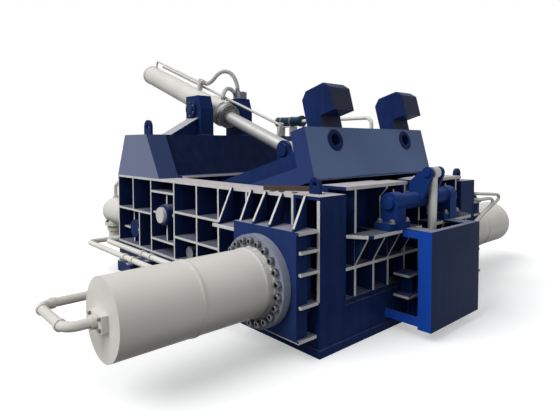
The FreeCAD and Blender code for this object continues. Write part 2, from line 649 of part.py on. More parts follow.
# ================================================================ press cylinders and their rams
def screw_places():
    """Where each flange screw's head sits on the near flange."""
    places = []
    for n in range(FLANGE_SCREWS):
        turn = 2 * math.pi * (n + 0.5) / FLANGE_SCREWS
        places.append(V(PRESS_X + SCREW_CIRCLE_R * math.cos(turn), -MOUNT_FACE_Y - PRESS_FLANGE_T,
                        PRESS_Z + SCREW_CIRCLE_R * math.sin(turn)))
    return places


def near_cylinder_flange():
    """Round bolted flange with the rod's gland bore."""
    face = V(PRESS_X, -MOUNT_FACE_Y, PRESS_Z)
    plate = tube(face, face - V(0, PRESS_FLANGE_T, 0), PRESS_FLANGE_R, PRESS_ROD_R + RUNNING_FIT)
    for place in screw_places():
        plate = plate.cut(drum(place, place + V(0, PRESS_FLANGE_T, 0), SCREW_R + RUNNING_FIT))
    return plate


def near_flange_screws():
    """Cap screws that hold the near flange to its mount."""
    screws = []
    for place in screw_places():
        head = drum(place - V(0, SCREW_HEAD_H, 0), place, SCREW_HEAD_R)
        shank = drum(place, place + V(0, PRESS_FLANGE_T + SCREW_GRIP, 0), SCREW_R)
        screws.append(head.fuse(shank))
    return screws


def near_press_cylinder():
    """Barrel with a closed end, weld rings and a port block on its end cap."""
    front = -MOUNT_FACE_Y - PRESS_FLANGE_T
    back = front - PRESS_BARREL_LENGTH
    start = V(PRESS_X, front, PRESS_Z)
    end = V(PRESS_X, back, PRESS_Z)
    pieces = [drum(start, end, PRESS_BARREL_R)]
    for y in (front - 3 * WELD_RING_WIDTH, (front + back) / 2):
        pieces.append(drum(V(PRESS_X, y, PRESS_Z), V(PRESS_X, y - WELD_RING_WIDTH, PRESS_Z),
                           PRESS_BARREL_R + WELD_RING_RISE))
    pieces.append(block(PRESS_X - PORT_X_LENGTH / 2, PRESS_X + PORT_X_LENGTH / 2, back - PORT_DEPTH, back,
                        PRESS_Z - PORT_HEIGHT / 2, PRESS_Z + PORT_HEIGHT / 2))
    return weld(pieces).cut(drum(start, end + V(0, PRESS_CAP_THICKNESS, 0), PRESS_BORE_R))


def near_cylinder_pipe():
    """Oil pipe from the end cap round to the side wall."""
    back = -MOUNT_FACE_Y - PRESS_FLANGE_T - PRESS_BARREL_LENGTH
    start = V(PRESS_X, back - PORT_DEPTH, PRESS_Z)
    corner = V(PRESS_X, back - PIPE_OUT, PRESS_Z)
    turn = V(PIPE_REAR_X, back - PIPE_OUT, PRESS_Z)
    end = V(PIPE_REAR_X, -WEB_Y - WEB, PRESS_Z)
    run = pipe([start, corner, turn, end], PIPE_R, PIPE_BEND)
    collars = [drum(start, start - V(0, PIPE_R, 0), PIPE_R + 12)]
    for place in (corner + V(-PIPE_BEND, 0, 0), turn + V(PIPE_BEND, 0, 0), turn + V(0, PIPE_BEND, 0)):
        way = V(0, 15, 0) if abs(place.y - corner.y) > 1 else V(15, 0, 0)
        collars.append(drum(place - way, place + way, PIPE_R + 7))
    return weld([run] + collars)


def near_press_ram():
    """Ram block in the channel, its piston rod and piston, drawn right back."""
    x0 = CHANNEL_REAR_X + SLIDE_GAP
    x1 = CHAMBER_FRONT_X - SLIDE_GAP
    back = -INNER_Y - PRESS_RAM_LENGTH
    body = block(x0, x1, back, -INNER_Y, RAM_BOTTOM, RAM_TOP)
    hollow = block(x0 + RAM_FACE, x1 - RAM_FACE, back, -INNER_Y - RAM_FACE,
                   RAM_BOTTOM + RAM_FACE, RAM_TOP - RAM_FACE)
    cap_inside = -MOUNT_FACE_Y - PRESS_FLANGE_T - PRESS_BARREL_LENGTH + PRESS_CAP_THICKNESS
    piston_back = V(PRESS_X, cap_inside + PISTON_GAP, PRESS_Z)
    piston_front = piston_back + V(0, PRESS_PISTON, 0)
    rod = drum(piston_front, V(PRESS_X, -INNER_Y - RAM_FACE, PRESS_Z), PRESS_ROD_R)
    piston = drum(piston_back, piston_front, PRESS_BORE_R - PISTON_FIT)
    return weld([body.cut(hollow), rod, piston])


# ================================================================ main ram and its cylinders
def main_ram():
    """Wide welded ram with a thick face, a wear shoe and cross ribs, open at the back."""
    half = INNER_Y - SLIDE_GAP
    body = block(MAIN_BACK_X, MAIN_FACE_X, -half, half, RAM_BOTTOM, RAM_TOP)
    cells = []
    edges = (-half + RAM_FACE, -MAIN_Y + MAIN_BARREL_R, 0.0, MAIN_Y - MAIN_BARREL_R, half - RAM_FACE)
    for y0, y1 in zip(edges, edges[1:]):
        cells.append(block(MAIN_BACK_X, MAIN_FACE_X - 2 * RAM_FACE, y0 + RIB / 2, y1 - RIB / 2,
                           RAM_BOTTOM + RAM_FACE, RAM_TOP - MAIN_RAM_SHOE))
    return body.cut(group(cells))


def main_rods():
    """Two piston rods with their pistons, bolted into the main ram."""
    rods = []
    for side in (-1, 1):
        back = V(MAIN_END_X + MAIN_CAP + PISTON_GAP, side * MAIN_Y, MAIN_Z)
        front = back + V(MAIN_PISTON, 0, 0)
        rod = drum(front, V(MAIN_FACE_X - 2 * RAM_FACE, side * MAIN_Y, MAIN_Z), MAIN_ROD_R)
        rods.append(weld([drum(back, front, MAIN_BORE_R - PISTON_FIT), rod]))
    return group(rods)


def main_cylinder(side):
    """Barrel of one main cylinder with its rear cap, a port boss on top and a round stand."""
    front = V(BULKHEAD_X - 2 * WEB - MAIN_FLANGE_T, side * MAIN_Y, MAIN_Z)
    end = V(MAIN_END_X, side * MAIN_Y, MAIN_Z)
    port = V(MAIN_END_X + MAIN_CAP / 2, side * MAIN_Y, MAIN_Z)
    pieces = [drum(front, end, MAIN_BARREL_R),
              drum(port, port + V(0, 0, MAIN_BARREL_R + MAIN_PORT_RISE), MAIN_PORT_R)]
    foot = V(MAIN_END_X + STAND_IN, side * MAIN_Y, 0)
    for radius, (z0, z1) in ((STAND_R, (0, MAIN_Z)), (STAND_FLANGE_R, STAND_FLANGE_Z), (STAND_COLLAR_R, STAND_COLLAR_Z)):
        pieces.append(drum(foot + V(0, 0, z0), foot + V(0, 0, z1), radius))
    return weld(pieces).cut(drum(front, end + V(MAIN_CAP, 0, 0), MAIN_BORE_R))


def main_cylinder_flanges():
    """Bolting flanges with gland bores behind the rear bulkhead."""
    flanges = []
    for side in (-1, 1):
        face = V(BULKHEAD_X - 2 * WEB, side * MAIN_Y, MAIN_Z)
        flanges.append(tube(face, face - V(MAIN_FLANGE_T, 0, 0), MAIN_FLANGE_R, MAIN_ROD_R + RUNNING_FIT))
    return group(flanges)


def rear_pipe():
    """Pipe that joins the two main cylinders' rear ports."""
    x = MAIN_END_X + MAIN_CAP / 2
    low = MAIN_Z + MAIN_BARREL_R + MAIN_PORT_RISE
    high = low + REAR_PIPE_RISE
    return pipe([V(x, -MAIN_Y, low), V(x, -MAIN_Y, high), V(x, MAIN_Y, high), V(x, MAIN_Y, low)], PIPE_R, PIPE_BEND)


# ================================================================ lid
def lid_body():
    """Welded lid: hinge hub and arms, ribbed slab with a ledge, and a tall front beam with two ring bosses."""
    half = LID_HALF
    pieces = [block(LID_REAR_X, LID_FRONT_X, -half, half, LID_BOTTOM, LID_LEDGE_Z)]
    pieces.append(block(LID_REAR_X, LID_FRONT_X, LID_LEDGE - half, half - LID_LEDGE, LID_LEDGE_Z, LID_TOP))
    back = LID_FRONT_X - LID_BLOCK_DEPTH
    pieces.append(block(back, LID_FRONT_X, -half, half, LID_BOTTOM, LID_BLOCK_TOP))
    arm = [(HINGE_X, HINGE_Z - HINGE_HUB_R), (LID_REAR_X, LID_BOTTOM), (LID_REAR_X, LID_TOP),
           (HINGE_X, HINGE_Z + HINGE_HUB_R)]
    for y in (-half, -LID_ARM / 2, half - LID_ARM):
        pieces.append(plate_xz(arm, y, y + LID_ARM))
    pieces.append(drum(V(HINGE_X, -half, HINGE_Z), V(HINGE_X, half, HINGE_Z), HINGE_HUB_R))
    for side in (-1, 1):
        start = V(LID_FRONT_X, side * HOOK_Y, RING_Z)
        pieces.append(drum(start, start + V(RING_STAND, 0, 0), RING_R))
    body = weld(pieces)
    width = (2 * half - LID_RIB * (LID_CELLS + 1)) / LID_CELLS
    for n in range(LID_CELLS):
        y = LID_RIB - half + n * (width + LID_RIB)
        body = body.cut(block(LID_REAR_X, back - LID_PLATE, y, y + width,
                              LID_BOTTOM + LID_PLATE, LID_LEDGE_Z))
    for side in (-1, 1):
        start = V(LID_FRONT_X + RING_STAND, side * HOOK_Y, RING_Z)
        body = body.cut(drum(start, start - V(RING_HOLE_DEPTH, 0, 0), RING_HOLE_R))
    shaft = drum(V(HINGE_X, -BASE_WIDTH, HINGE_Z), V(HINGE_X, BASE_WIDTH, HINGE_Z), HINGE_PIN_R + RUNNING_FIT)
    return opened(body.cut(shaft))


def lid_hook(side):
    """Hook-shaped lifting and locking horn on the lid's front beam."""
    back = LID_FRONT_X - LID_BLOCK_DEPTH
    front = LID_FRONT_X + HOOK_REACH
    outline = [(back, LID_BLOCK_TOP), (back, HOOK_TOP - HOOK_BACK_CHAMFER), (back + HOOK_BACK_CHAMFER, HOOK_TOP),
               (front - HOOK_FRONT_CHAMFER, HOOK_TOP), (front, HOOK_TOP - HOOK_FRONT_CHAMFER),
               (front, HOOK_UNDERSIDE), (LID_FRONT_X, HOOK_UNDERSIDE), (LID_FRONT_X, LID_BLOCK_TOP)]
    middle = side * HOOK_Y
    return opened(plate_xz(outline, middle - HOOK_WIDTH / 2, middle + HOOK_WIDTH / 2))


def lid_shaft():
    """Hinge shaft through the lid's hub and both side walls."""
    reach = OUTER_Y + RIB - SIDE_GAP
    return drum(V(HINGE_X, -reach, HINGE_Z), V(HINGE_X, reach, HINGE_Z), HINGE_PIN_R)


def hinge_caps():
    """Round covers on the hinge bosses, over the shaft's ends."""
    caps = []
    for side in (-1, 1):
        start = V(HINGE_X, side * (OUTER_Y + RIB), HINGE_Z)
        caps.append(drum(start, start + V(0, side * HINGE_CAP_T, 0), HINGE_CAP_R))
    return group(caps)


def closed_point(point):
    """Where a point that is known on the opened lid lies with the lid shut."""
    turn = math.radians(LID_OPEN_DEG)
    x = point.x - HINGE_X
    z = point.z - HINGE_Z
    return V(HINGE_X + x * math.cos(turn) + z * math.sin(turn), 0, HINGE_Z + z * math.cos(turn) - x * math.sin(turn))


LID_PIN = V(LID_PIN_X, 0, LID_PIN_Z)
TRUNNION = V(TRUNNION_X, 0, TRUNNION_Z)
THRUST = (LID_PIN - TRUNNION).normalize()
RISE = V(-THRUST.z, 0, THRUST.x)


def along(distance, rise=0.0, side=0.0):
    """Point on the lid cylinder: ahead of the trunnion, above the axis, to the far side."""
    return TRUNNION + THRUST * distance + RISE * rise + V(0, side, 0)


def lid_clevis():
    """Two tall cheeks on the lid with capped pin bosses."""
    pin = closed_point(LID_PIN)
    inner = LID_EYE_WIDTH / 2 + SIDE_GAP
    pieces = []
    for side in (-1, 1):
        y0, y1 = sorted((side * inner, side * (inner + CLEVIS_CHEEK)))
        foot = plate_xz([(pin.x - CLEVIS_FOOT / 2, LID_TOP), (pin.x + CLEVIS_FOOT / 2, LID_TOP),
                         (pin.x + CLEVIS_R * 0.9, pin.z), (pin.x - CLEVIS_R * 0.9, pin.z)], y0, y1)
        eye = drum(V(pin.x, y0, pin.z), V(pin.x, y1, pin.z), CLEVIS_R)
        cap = drum(V(pin.x, side * (inner + CLEVIS_CHEEK), pin.z),
                   V(pin.x, side * (inner + CLEVIS_CHEEK + RIB), pin.z), LID_PIN_R + RIB)
        pieces.append(weld([foot, eye, cap]))
    return opened(group(pieces))


# ================================================================ portal, posts and lid cylinder
def portal_frame():
    """Portal across the frame's rear: two pillars, a sloped crossbeam between them, and a lifting eye."""
    outline = [(REAR_X, WALL_TOP), (PORTAL_FOOT_FRONT_X, WALL_TOP), (PORTAL_TOP_FRONT_X, PORTAL_TOP),
               (PORTAL_TOP_REAR_X, PORTAL_TOP)]
    recessed = [(REAR_X + BEAM_RECESS, WALL_TOP), (PORTAL_FOOT_FRONT_X - BEAM_RECESS, WALL_TOP),
                (PORTAL_TOP_FRONT_X - BEAM_RECESS, PORTAL_TOP), (PORTAL_TOP_REAR_X + BEAM_RECESS, PORTAL_TOP)]
    inside = OUTER_Y - PILLAR_WIDTH
    pieces = [plate_xz(outline, -OUTER_Y, -inside), plate_xz(outline, inside, OUTER_Y)]
    pieces.append(plate_xz(recessed, -inside, inside))
    pieces.append(block(PORTAL_FOOT_FRONT_X - BEAM_RECESS, FOOT_PLATE_FRONT_X, -inside, inside,
                        WALL_TOP, WALL_TOP + BEAM_PLATE))
    x0, x1 = PORTAL_EYE_X
    middle = (x0 + x1) / 2
    eye_z = PORTAL_EYE_TOP - (x1 - x0) / 3
    y0 = PORTAL_EYE_IN - OUTER_Y
    ear = weld([block(x0, x1, y0, y0 + LUG_T, PORTAL_TOP, eye_z),
                drum(V(middle, y0, eye_z), V(middle, y0 + LUG_T, eye_z), (x1 - x0) / 2)])
    pieces.append(ear)
    hollow = [(REAR_X + BEAM_RECESS + 2 * BEAM_PLATE, WALL_TOP),
              (PORTAL_FOOT_FRONT_X - BEAM_RECESS - 2 * BEAM_PLATE, WALL_TOP),
              (PORTAL_TOP_FRONT_X - BEAM_RECESS - BEAM_PLATE, PORTAL_TOP - BEAM_PLATE),
              (PORTAL_TOP_REAR_X + BEAM_RECESS + BEAM_PLATE, PORTAL_TOP - BEAM_PLATE)]
    frame = weld(pieces).cut(plate_xz(hollow, BEAM_PLATE - inside, inside - BEAM_PLATE))
    return frame.cut(drum(V(middle, -BASE_WIDTH, eye_z), V(middle, -inside - BEAM_PLATE, eye_z), EYE_HOLE_R))


def post(side):
    """Post for one trunnion, with a raking gusset down to the crossbeam."""
    inner = side * POST_INNER_Y
    outer = side * (POST_INNER_Y + POST_WIDTH)
    y0, y1 = sorted((inner, outer))
    column = [(POST_REAR_X, PORTAL_TOP), (POST_FRONT_X, PORTAL_TOP), (POST_FRONT_X, TRUNNION_Z),
              (POST_FRONT_X - POST_TOP_CUT, POST_TOP), (POST_REAR_X, POST_TOP)]
    foot = side * POST_GUSSET_Y
    rib = [(outer, PORTAL_TOP), (foot, PORTAL_TOP), (outer, POST_GUSSET_Z)]
    slope = (POST_GUSSET_Y - POST_INNER_Y - POST_WIDTH) / (POST_GUSSET_Z - PORTAL_TOP)
    strip = [(foot, PORTAL_TOP), (outer, POST_GUSSET_Z), (outer, POST_GUSSET_Z - RAKE_PLATE),
             (foot - side * RAKE_PLATE * slope, PORTAL_TOP)]
    x0, x1 = RAKE_X
    body = weld([plate_xz(column, y0, y1), plate_yz(strip, x0, x1),
                 plate_yz(rib, x0 + RAKE_RIBS_IN, x0 + RAKE_RIBS_IN + RIB),
                 plate_yz(rib, x1 - RAKE_RIBS_IN - RIB, x1 - RAKE_RIBS_IN)])
    return body.cut(drum(V(TRUNNION_X, y0, TRUNNION_Z), V(TRUNNION_X, y1, TRUNNION_Z), TRUNNION_R + RUNNING_FIT))


def trunnion_covers():
    """Round covers on the posts' outer faces."""
    covers = []
    for side in (-1, 1):
        start = V(TRUNNION_X, side * (POST_INNER_Y + POST_WIDTH), TRUNNION_Z)
        covers.append(drum(start, start + V(0, side * TRUNNION_CAP_T, 0), TRUNNION_CAP_R))
    return group(covers)


def lid_cylinder():
    """Long barrel with a trunnion collar and two stub shafts that turn in the posts."""
    outside = drum(along(-LID_BARREL_BACK), along(LID_BARREL_AHEAD), LID_BARREL_R)
    collar = drum(along(-LID_BARREL_R), along(LID_BARREL_R), TRUNNION_COLLAR_R)
    reach = POST_INNER_Y + POST_WIDTH - SIDE_GAP
    stub = drum(TRUNNION - V(0, reach, 0), TRUNNION + V(0, reach, 0), TRUNNION_R)
    shoulder = drum(TRUNNION - V(0, POST_INNER_Y - SIDE_GAP, 0), TRUNNION + V(0, POST_INNER_Y - SIDE_GAP, 0),
                    TRUNNION_R + RIB)
    bore = drum(along(LID_BARREL_CAP - LID_BARREL_BACK), along(LID_BARREL_AHEAD), LID_BORE_R)
    return weld([outside, collar, stub, shoulder]).cut(bore)


def lid_gland():
    """Gland ring screwed to the barrel's front end."""
    return tube(along(LID_BARREL_AHEAD), along(LID_BARREL_AHEAD + LID_GLAND_T), LID_GLAND_R, LID_ROD_R + RUNNING_FIT)


def lid_rod():
    """Piston, rod and rod eye in one line."""
    pin_at = (LID_PIN - TRUNNION).Length
    piston = drum(along(-LID_PISTON_BACK - LID_PISTON), along(-LID_PISTON_BACK), LID_BORE_R - PISTON_FIT)
    rod = drum(along(-LID_PISTON_BACK), along(pin_at - LID_EYE_R / 2), LID_ROD_R)
    half = V(0, LID_EYE_WIDTH / 2, 0)
    eye = drum(LID_PIN - half, LID_PIN + half, LID_EYE_R)
    lug_at = pin_at - STROKE_LUG_BACK
    lug = drum(along(lug_at, 0, STROKE_ROD_SIDE), along(lug_at, STROKE_ROD_RISE + STROKE_LUG_R, STROKE_ROD_SIDE), STROKE_LUG_R)
    body = weld([piston, rod, eye, lug])
    return body.cut(drum(LID_PIN - half, LID_PIN + half, LID_PIN_R + RUNNING_FIT))


def lid_pin():
    """Pin in the rod's eye."""
    half = V(0, LID_EYE_WIDTH / 2, 0)
    return drum(LID_PIN - half, LID_PIN + half, LID_PIN_R)


def stroke_rod():
    """Thin measuring rod beside the cylinder, held by the lug on the rod."""
    lug_at = (LID_PIN - TRUNNION).Length - STROKE_LUG_BACK - STROKE_LUG_R
    return drum(along(-STROKE_ROD_BACK, STROKE_ROD_RISE, STROKE_ROD_SIDE),
                along(lug_at, STROKE_ROD_RISE, STROKE_ROD_SIDE), STROKE_ROD_R)


def lid_barrel_line():
    """Oil pipe along the barrel's top, with a riser at the rear and a block at its front end."""
    rise = LID_BARREL_R + LINE_RISE
    rear = LINE_REAR_IN - LID_BARREL_BACK
    run = pipe([along(rear, LID_BARREL_R + SEAT_GAP), along(rear, rise), along(LINE_BLOCK_AT, rise)],
               LINE_R, LINE_BEND)
    seat = drum(along(LINE_BLOCK_AT, LID_BARREL_R + SEAT_GAP), along(LINE_BLOCK_AT, LINE_BLOCK_TOP), LINE_BLOCK_R)
    return weld([run, seat])


# ================================================================ turn-out gear
def bearing(side):
    """Pillow block with a domed housing on a thick foot."""
    y = side * BEARING_Y
    y0 = y - BEARING_WIDTH / 2
    y1 = y + BEARING_WIDTH / 2
    foot = block(SHAFT_X - 88, SHAFT_X - 88 + SHELF_DEPTH - 12, y - BEARING_FOOT / 2, y + BEARING_FOOT / 2,
                 SHELF_TOP, SHELF_TOP + BEARING_FOOT_T)
    neck = block(SHAFT_X - BEARING_R + 8, SHAFT_X + BEARING_R - 8, y0, y1, SHELF_TOP, SHAFT_Z)
    dome = drum(V(SHAFT_X, y0, SHAFT_Z), V(SHAFT_X, y1, SHAFT_Z), BEARING_R)
    body = weld([foot, neck, dome])
    return body.cut(drum(V(SHAFT_X, y0, SHAFT_Z), V(SHAFT_X, y1, SHAFT_Z), SHAFT_R + RUNNING_FIT))


def turn_out_shaft():
    """Shaft with a sleeve between the bearings and two levers towards the lift cylinder."""
    inner = BEARING_Y - BEARING_WIDTH / 2 - SIDE_GAP
    outer = BEARING_Y + BEARING_WIDTH / 2 + RIB
    shaft = drum(V(SHAFT_X, -outer, SHAFT_Z), V(SHAFT_X, outer, SHAFT_Z), SHAFT_R)
    sleeve = drum(V(SHAFT_X, -inner, SHAFT_Z), V(SHAFT_X, inner, SHAFT_Z), SHAFT_TUBE_R)
    pieces = [shaft, sleeve]
    for side in (-1, 1):
        y0, y1 = sorted((side * LEVER_GAP / 2, side * (LEVER_GAP / 2 + LEVER_T)))
        outline = [(SHAFT_X - 60, LEVER_EYE_Z - 88), (SHAFT_X - 45, SHAFT_Z - 60), (SHAFT_X + 45, SHAFT_Z - 55),
                   (SHAFT_X + 90, SHAFT_Z + 31), (LEVER_EYE_X + 48, LEVER_EYE_Z - 25),
                   (LEVER_EYE_X, LEVER_EYE_Z + 45), (SHAFT_X + 29, LEVER_EYE_Z + 1)]
        arm = plate_xz(outline, y0, y1)
        eye = drum(V(LEVER_EYE_X, y0, LEVER_EYE_Z), V(LEVER_EYE_X, y1, LEVER_EYE_Z), LEVER_EYE_R)
        outside = side * (LEVER_GAP / 2 + LEVER_T)
        cap = drum(V(LEVER_EYE_X, outside, LEVER_EYE_Z), V(LEVER_EYE_X, outside + side * 14, LEVER_EYE_Z),
                   LEVER_PIN_R + 10)
        pieces += [arm, eye, cap]
    return weld(pieces)


def cradle():
    """Turn-out cradle: a floor leg and a wall leg under a narrow arm on the shaft."""
    floor_low = FLOOR_TOP - CRADLE_PLATE
    wall_x = CHAMBER_FRONT_X + CRADLE_PLATE
    legs = [(CRADLE_TIP_X, FLOOR_TOP), (CHAMBER_FRONT_X, FLOOR_TOP), (CHAMBER_FRONT_X, CRADLE_TOP),
            (wall_x, CRADLE_TOP), (wall_x, floor_low), (CRADLE_TIP_X + CRADLE_PLATE, floor_low)]
    ell = plate_xz(legs, -CRADLE_HALF, CRADLE_HALF)
    arm = [(CHAMBER_FRONT_X, CRADLE_TOP), (CHAMBER_FRONT_X, SHAFT_Z + 55), (SHAFT_X, SHAFT_Z + 55),
           (SHAFT_X, SHAFT_Z - 55), (wall_x + 40, CRADLE_TOP)]
    body = weld([ell, plate_xz(arm, -CRADLE_ARM_HALF, CRADLE_ARM_HALF)])
    return body.cut(drum(V(SHAFT_X, -BEARING_Y, SHAFT_Z), V(SHAFT_X, BEARING_Y, SHAFT_Z), SHAFT_TUBE_R))


LIFT_FOOT = V(FOOT_PIN_X, 0, FOOT_PIN_Z)
LIFT_EYE = V(LEVER_EYE_X, 0, LEVER_EYE_Z)
LIFT_WAY = (LIFT_EYE - LIFT_FOOT).normalize()


def lift_point(height):
    """Point on the lift cylinder's axis, this far above its foot pin."""
    return LIFT_FOOT + LIFT_WAY * height


def lift_foot():
    """Bracket with two cheeks at the base's front edge, and the foot pin."""
    inner = FOOT_EYE_WIDTH / 2 + SIDE_GAP
    half = inner + FOOT_CHEEK
    back = block(FRONT_X, FRONT_X + RIB, -half - RIB, half + RIB, SKID_HEIGHT / 3, FOOT_PIN_Z + FOOT_EYE_R)
    pieces = [back]
    for side in (-1, 1):
        y0, y1 = sorted((side * inner, side * half))
        outline = [(FRONT_X, SKID_HEIGHT / 3), (FOOT_PIN_X, FOOT_PIN_Z - FOOT_EYE_R),
                   (FOOT_PIN_X, FOOT_PIN_Z + FOOT_EYE_R), (FRONT_X, FOOT_PIN_Z + FOOT_EYE_R)]
        pieces.append(plate_xz(outline, y0, y1))
        pieces.append(drum(V(FOOT_PIN_X, y0, FOOT_PIN_Z), V(FOOT_PIN_X, y1, FOOT_PIN_Z), FOOT_EYE_R))
    pieces.append(drum(V(FOOT_PIN_X, -half - 12, FOOT_PIN_Z), V(FOOT_PIN_X, half + 12, FOOT_PIN_Z), FOOT_PIN_R))
    return weld(pieces)


def lift_barrel():
    """Turn-out cylinder's barrel with its foot eye."""
    bottom = LIFT_BARREL_BOTTOM - FOOT_PIN_Z
    top = LIFT_BARREL_TOP - FOOT_PIN_Z
    half = V(0, FOOT_EYE_WIDTH / 2, 0)
    eye = drum(LIFT_FOOT - half, LIFT_FOOT + half, FOOT_EYE_R)
    stem = drum(LIFT_FOOT, lift_point(bottom), FOOT_EYE_WIDTH / 2 - 6)
    body = weld([eye, stem, drum(lift_point(bottom), lift_point(top), LIFT_BARREL_R)])
    body = body.cut(drum(lift_point(bottom + RIB), lift_point(top - 2 * RIB), LIFT_BORE_R))
    body = body.cut(drum(lift_point(top - 2 * RIB), lift_point(top), LIFT_ROD_R + RUNNING_FIT))
    return body.cut(drum(LIFT_FOOT - half, LIFT_FOOT + half, FOOT_PIN_R + RUNNING_FIT))


def lift_rod():
    """Turn-out cylinder's piston, rod and rod eye."""
    eye_at = (LIFT_EYE - LIFT_FOOT).Length
    piston_at = LIFT_BARREL_TOP - FOOT_PIN_Z - 4 * RIB - LIFT_PISTON
    half = V(0, ROD_EYE_WIDTH / 2, 0)
    piston = drum(lift_point(piston_at), lift_point(piston_at + LIFT_PISTON), LIFT_BORE_R - PISTON_FIT)
    rod = drum(lift_point(piston_at), lift_point(eye_at - LEVER_EYE_R / 2), LIFT_ROD_R)
    eye = drum(LIFT_EYE - half, LIFT_EYE + half, LEVER_EYE_R)
    return weld([piston, rod, eye]).cut(drum(LIFT_EYE - half, LIFT_EYE + half, LEVER_PIN_R + RUNNING_FIT))


def lift_pin():
    """Pin in the rod's eye, between the two levers."""
    half = V(0, LEVER_GAP / 2 - SIDE_GAP, 0)
    return drum(LIFT_EYE - half, LIFT_EYE + half, LEVER_PIN_R)


def guard_box():
    """Guard in front of the lift cylinder: a front plate with folded side stiles on four arms."""
    front = block(GUARD_FRONT_X - GUARD_PLATE, GUARD_FRONT_X, -GUARD_HALF, GUARD_HALF, GUARD_BOTTOM, GUARD_TOP)
    pieces = [front]
    for side in (-1, 1):
        y0, y1 = sorted((side * GUARD_HALF, side * (GUARD_HALF - GUARD_PLATE)))
        pieces.append(block(GUARD_FRONT_X - GUARD_STILE, GUARD_FRONT_X, y0, y1, GUARD_BOTTOM, GUARD_TOP))
        a0, a1 = sorted((side * GUARD_HALF, side * (GUARD_HALF - GUARD_ARM_T)))
        top = GUARD_TOP - 10
        pieces.append(block(FACE_X + SHELF_DEPTH, GUARD_FRONT_X - GUARD_PLATE, a0, a1, top - GUARD_ARM, top))
        low = GUARD_BOTTOM + 22
        pieces.append(block(FACE_X, GUARD_FRONT_X - GUARD_PLATE, a0, a1, low, low + GUARD_ARM + 18))
    rim = block(GUARD_FRONT_X - GUARD_STILE, GUARD_FRONT_X, -GUARD_HALF, GUARD_HALF,
                GUARD_BOTTOM, GUARD_BOTTOM + GUARD_PLATE)
    pieces.append(rim)
    return weld(pieces)


# ================================================================ pipes, filter and small pieces
def supply_pipes():
    """Two pipes along the near side that turn in behind the frame's rear end to the near main cylinder."""
    pipes = []
    rise = PRESS_Z - SUPPLY_Z - PIPE_R
    barrel_side = PRESS_X - math.sqrt((PRESS_BARREL_R + WELD_RING_RISE) ** 2 - rise ** 2) - SEAT_GAP
    for y, x, front in zip(SUPPLY_Y, SUPPLY_REAR_X, (MOUNT_REAR_X, barrel_side)):
        points = [V(front, y, SUPPLY_Z), V(x, y, SUPPLY_Z), V(x, SUPPLY_TURN_Y, SUPPLY_Z),
                  V(x, SUPPLY_TURN_Y, MAIN_Z), V(x, -MAIN_Y - MAIN_BARREL_R - SEAT_GAP, MAIN_Z)]
        pipes.append(pipe(points, PIPE_R, PIPE_BEND))
    return group(pipes)


def pipe_block():
    """Bracket on the skid that carries the two supply pipes."""
    x0, x1 = SUPPLY_BLOCK_X
    outer = min(SUPPLY_Y) - PIPE_R - SUPPLY_BLOCK_EDGE
    top = SUPPLY_Z - PIPE_R - SEAT_GAP
    skid = -BASE_WIDTH / 2 + BASE_STEP
    return block(x0, x1, outer, skid, top - SUPPLY_BLOCK_DEPTH, top)


def return_filter():
    """Filter bowl lying along the far portal end."""
    start = V(FILTER_X, FILTER_Y, FILTER_Z)
    body = drum(start, start + V(FILTER_LENGTH, 0, 0), FILTER_R)
    head = drum(start + V(FILTER_LENGTH, 0, 0), start + V(FILTER_LENGTH + 45, 0, 0), FILTER_R + 12)
    return weld([body, head])


def filter_bracket():
    """Folded saddle that carries the filter on the far pillar."""
    x0 = FILTER_X + 60
    x1 = FILTER_X + 340
    top = FILTER_Z - FILTER_R - SEAT_GAP
    deck = block(x0, x1, FILTER_Y - 80, FILTER_Y + 80, top - 12, top)
    legs = [deck]
    for x in (x0, x1 - 12):
        legs.append(block(x, x + 12, FILTER_Y - 80, FILTER_Y + 80, PORTAL_TOP, top - 12))
    return weld(legs)


def filter_pipe():
    """Return pipe from the filter along the far wall and down to its top."""
    start = V(FILTER_X + FILTER_LENGTH + 45, FILTER_Y, FILTER_Z)
    corner = V(FILTER_PIPE_END_X, FILTER_Y, FILTER_Z)
    return pipe([start, corner, V(FILTER_PIPE_END_X, FILTER_Y, WALL_TOP)], PIPE_R * 0.8, PIPE_BEND)


def near_lifting_eye():
    """Lifting eye on the near front corner."""
    top = LUG_TOP - LUG_HALF
    body = weld([block(LUG_X - LUG_HALF, LUG_X + LUG_HALF, LUG_Y, LUG_Y + LUG_T, WALL_TOP, top),
                 drum(V(LUG_X, LUG_Y, top), V(LUG_X, LUG_Y + LUG_T, top), LUG_HALF)])
    return body.cut(drum(V(LUG_X, LUG_Y, top), V(LUG_X, LUG_Y + LUG_T, top), EYE_HOLE_R * 0.7))


def far_lifting_ring():
    """Lifting ring on the far front corner."""
    z = WALL_TOP + FAR_RING_R + 10
    half = LUG_T / 2
    stem = block(FAR_RING_X - half, FAR_RING_X + half, FAR_RING_Y - FAR_RING_R * 0.7, FAR_RING_Y + FAR_RING_R * 0.7,
                 WALL_TOP, z)
    body = weld([stem, drum(V(FAR_RING_X - half, FAR_RING_Y, z), V(FAR_RING_X + half, FAR_RING_Y, z), FAR_RING_R)])
    return body.cut(drum(V(FAR_RING_X - half, FAR_RING_Y, z), V(FAR_RING_X + half, FAR_RING_Y, z), FAR_RING_HOLE_R))


def lock_handle():
    """Loose rusty angle bar that lies on the near wall's top flange."""
    start = V(HANDLE_START[0], HANDLE_START[1], WALL_TOP)
    end = V(HANDLE_END[0], HANDLE_END[1], WALL_TOP)
    length = (end - start).Length
    turn = math.degrees(math.atan2(end.y - start.y, end.x - start.x))
    flat = Part.makeBox(length, HANDLE_LEG, HANDLE_T)
    rise = Part.makeBox(length, HANDLE_T, HANDLE_LEG)
    bar = weld([flat, rise])
    bar.rotate(V(0, 0, 0), V(0, 0, 1), turn)
    bar.translate(start)
    return bar


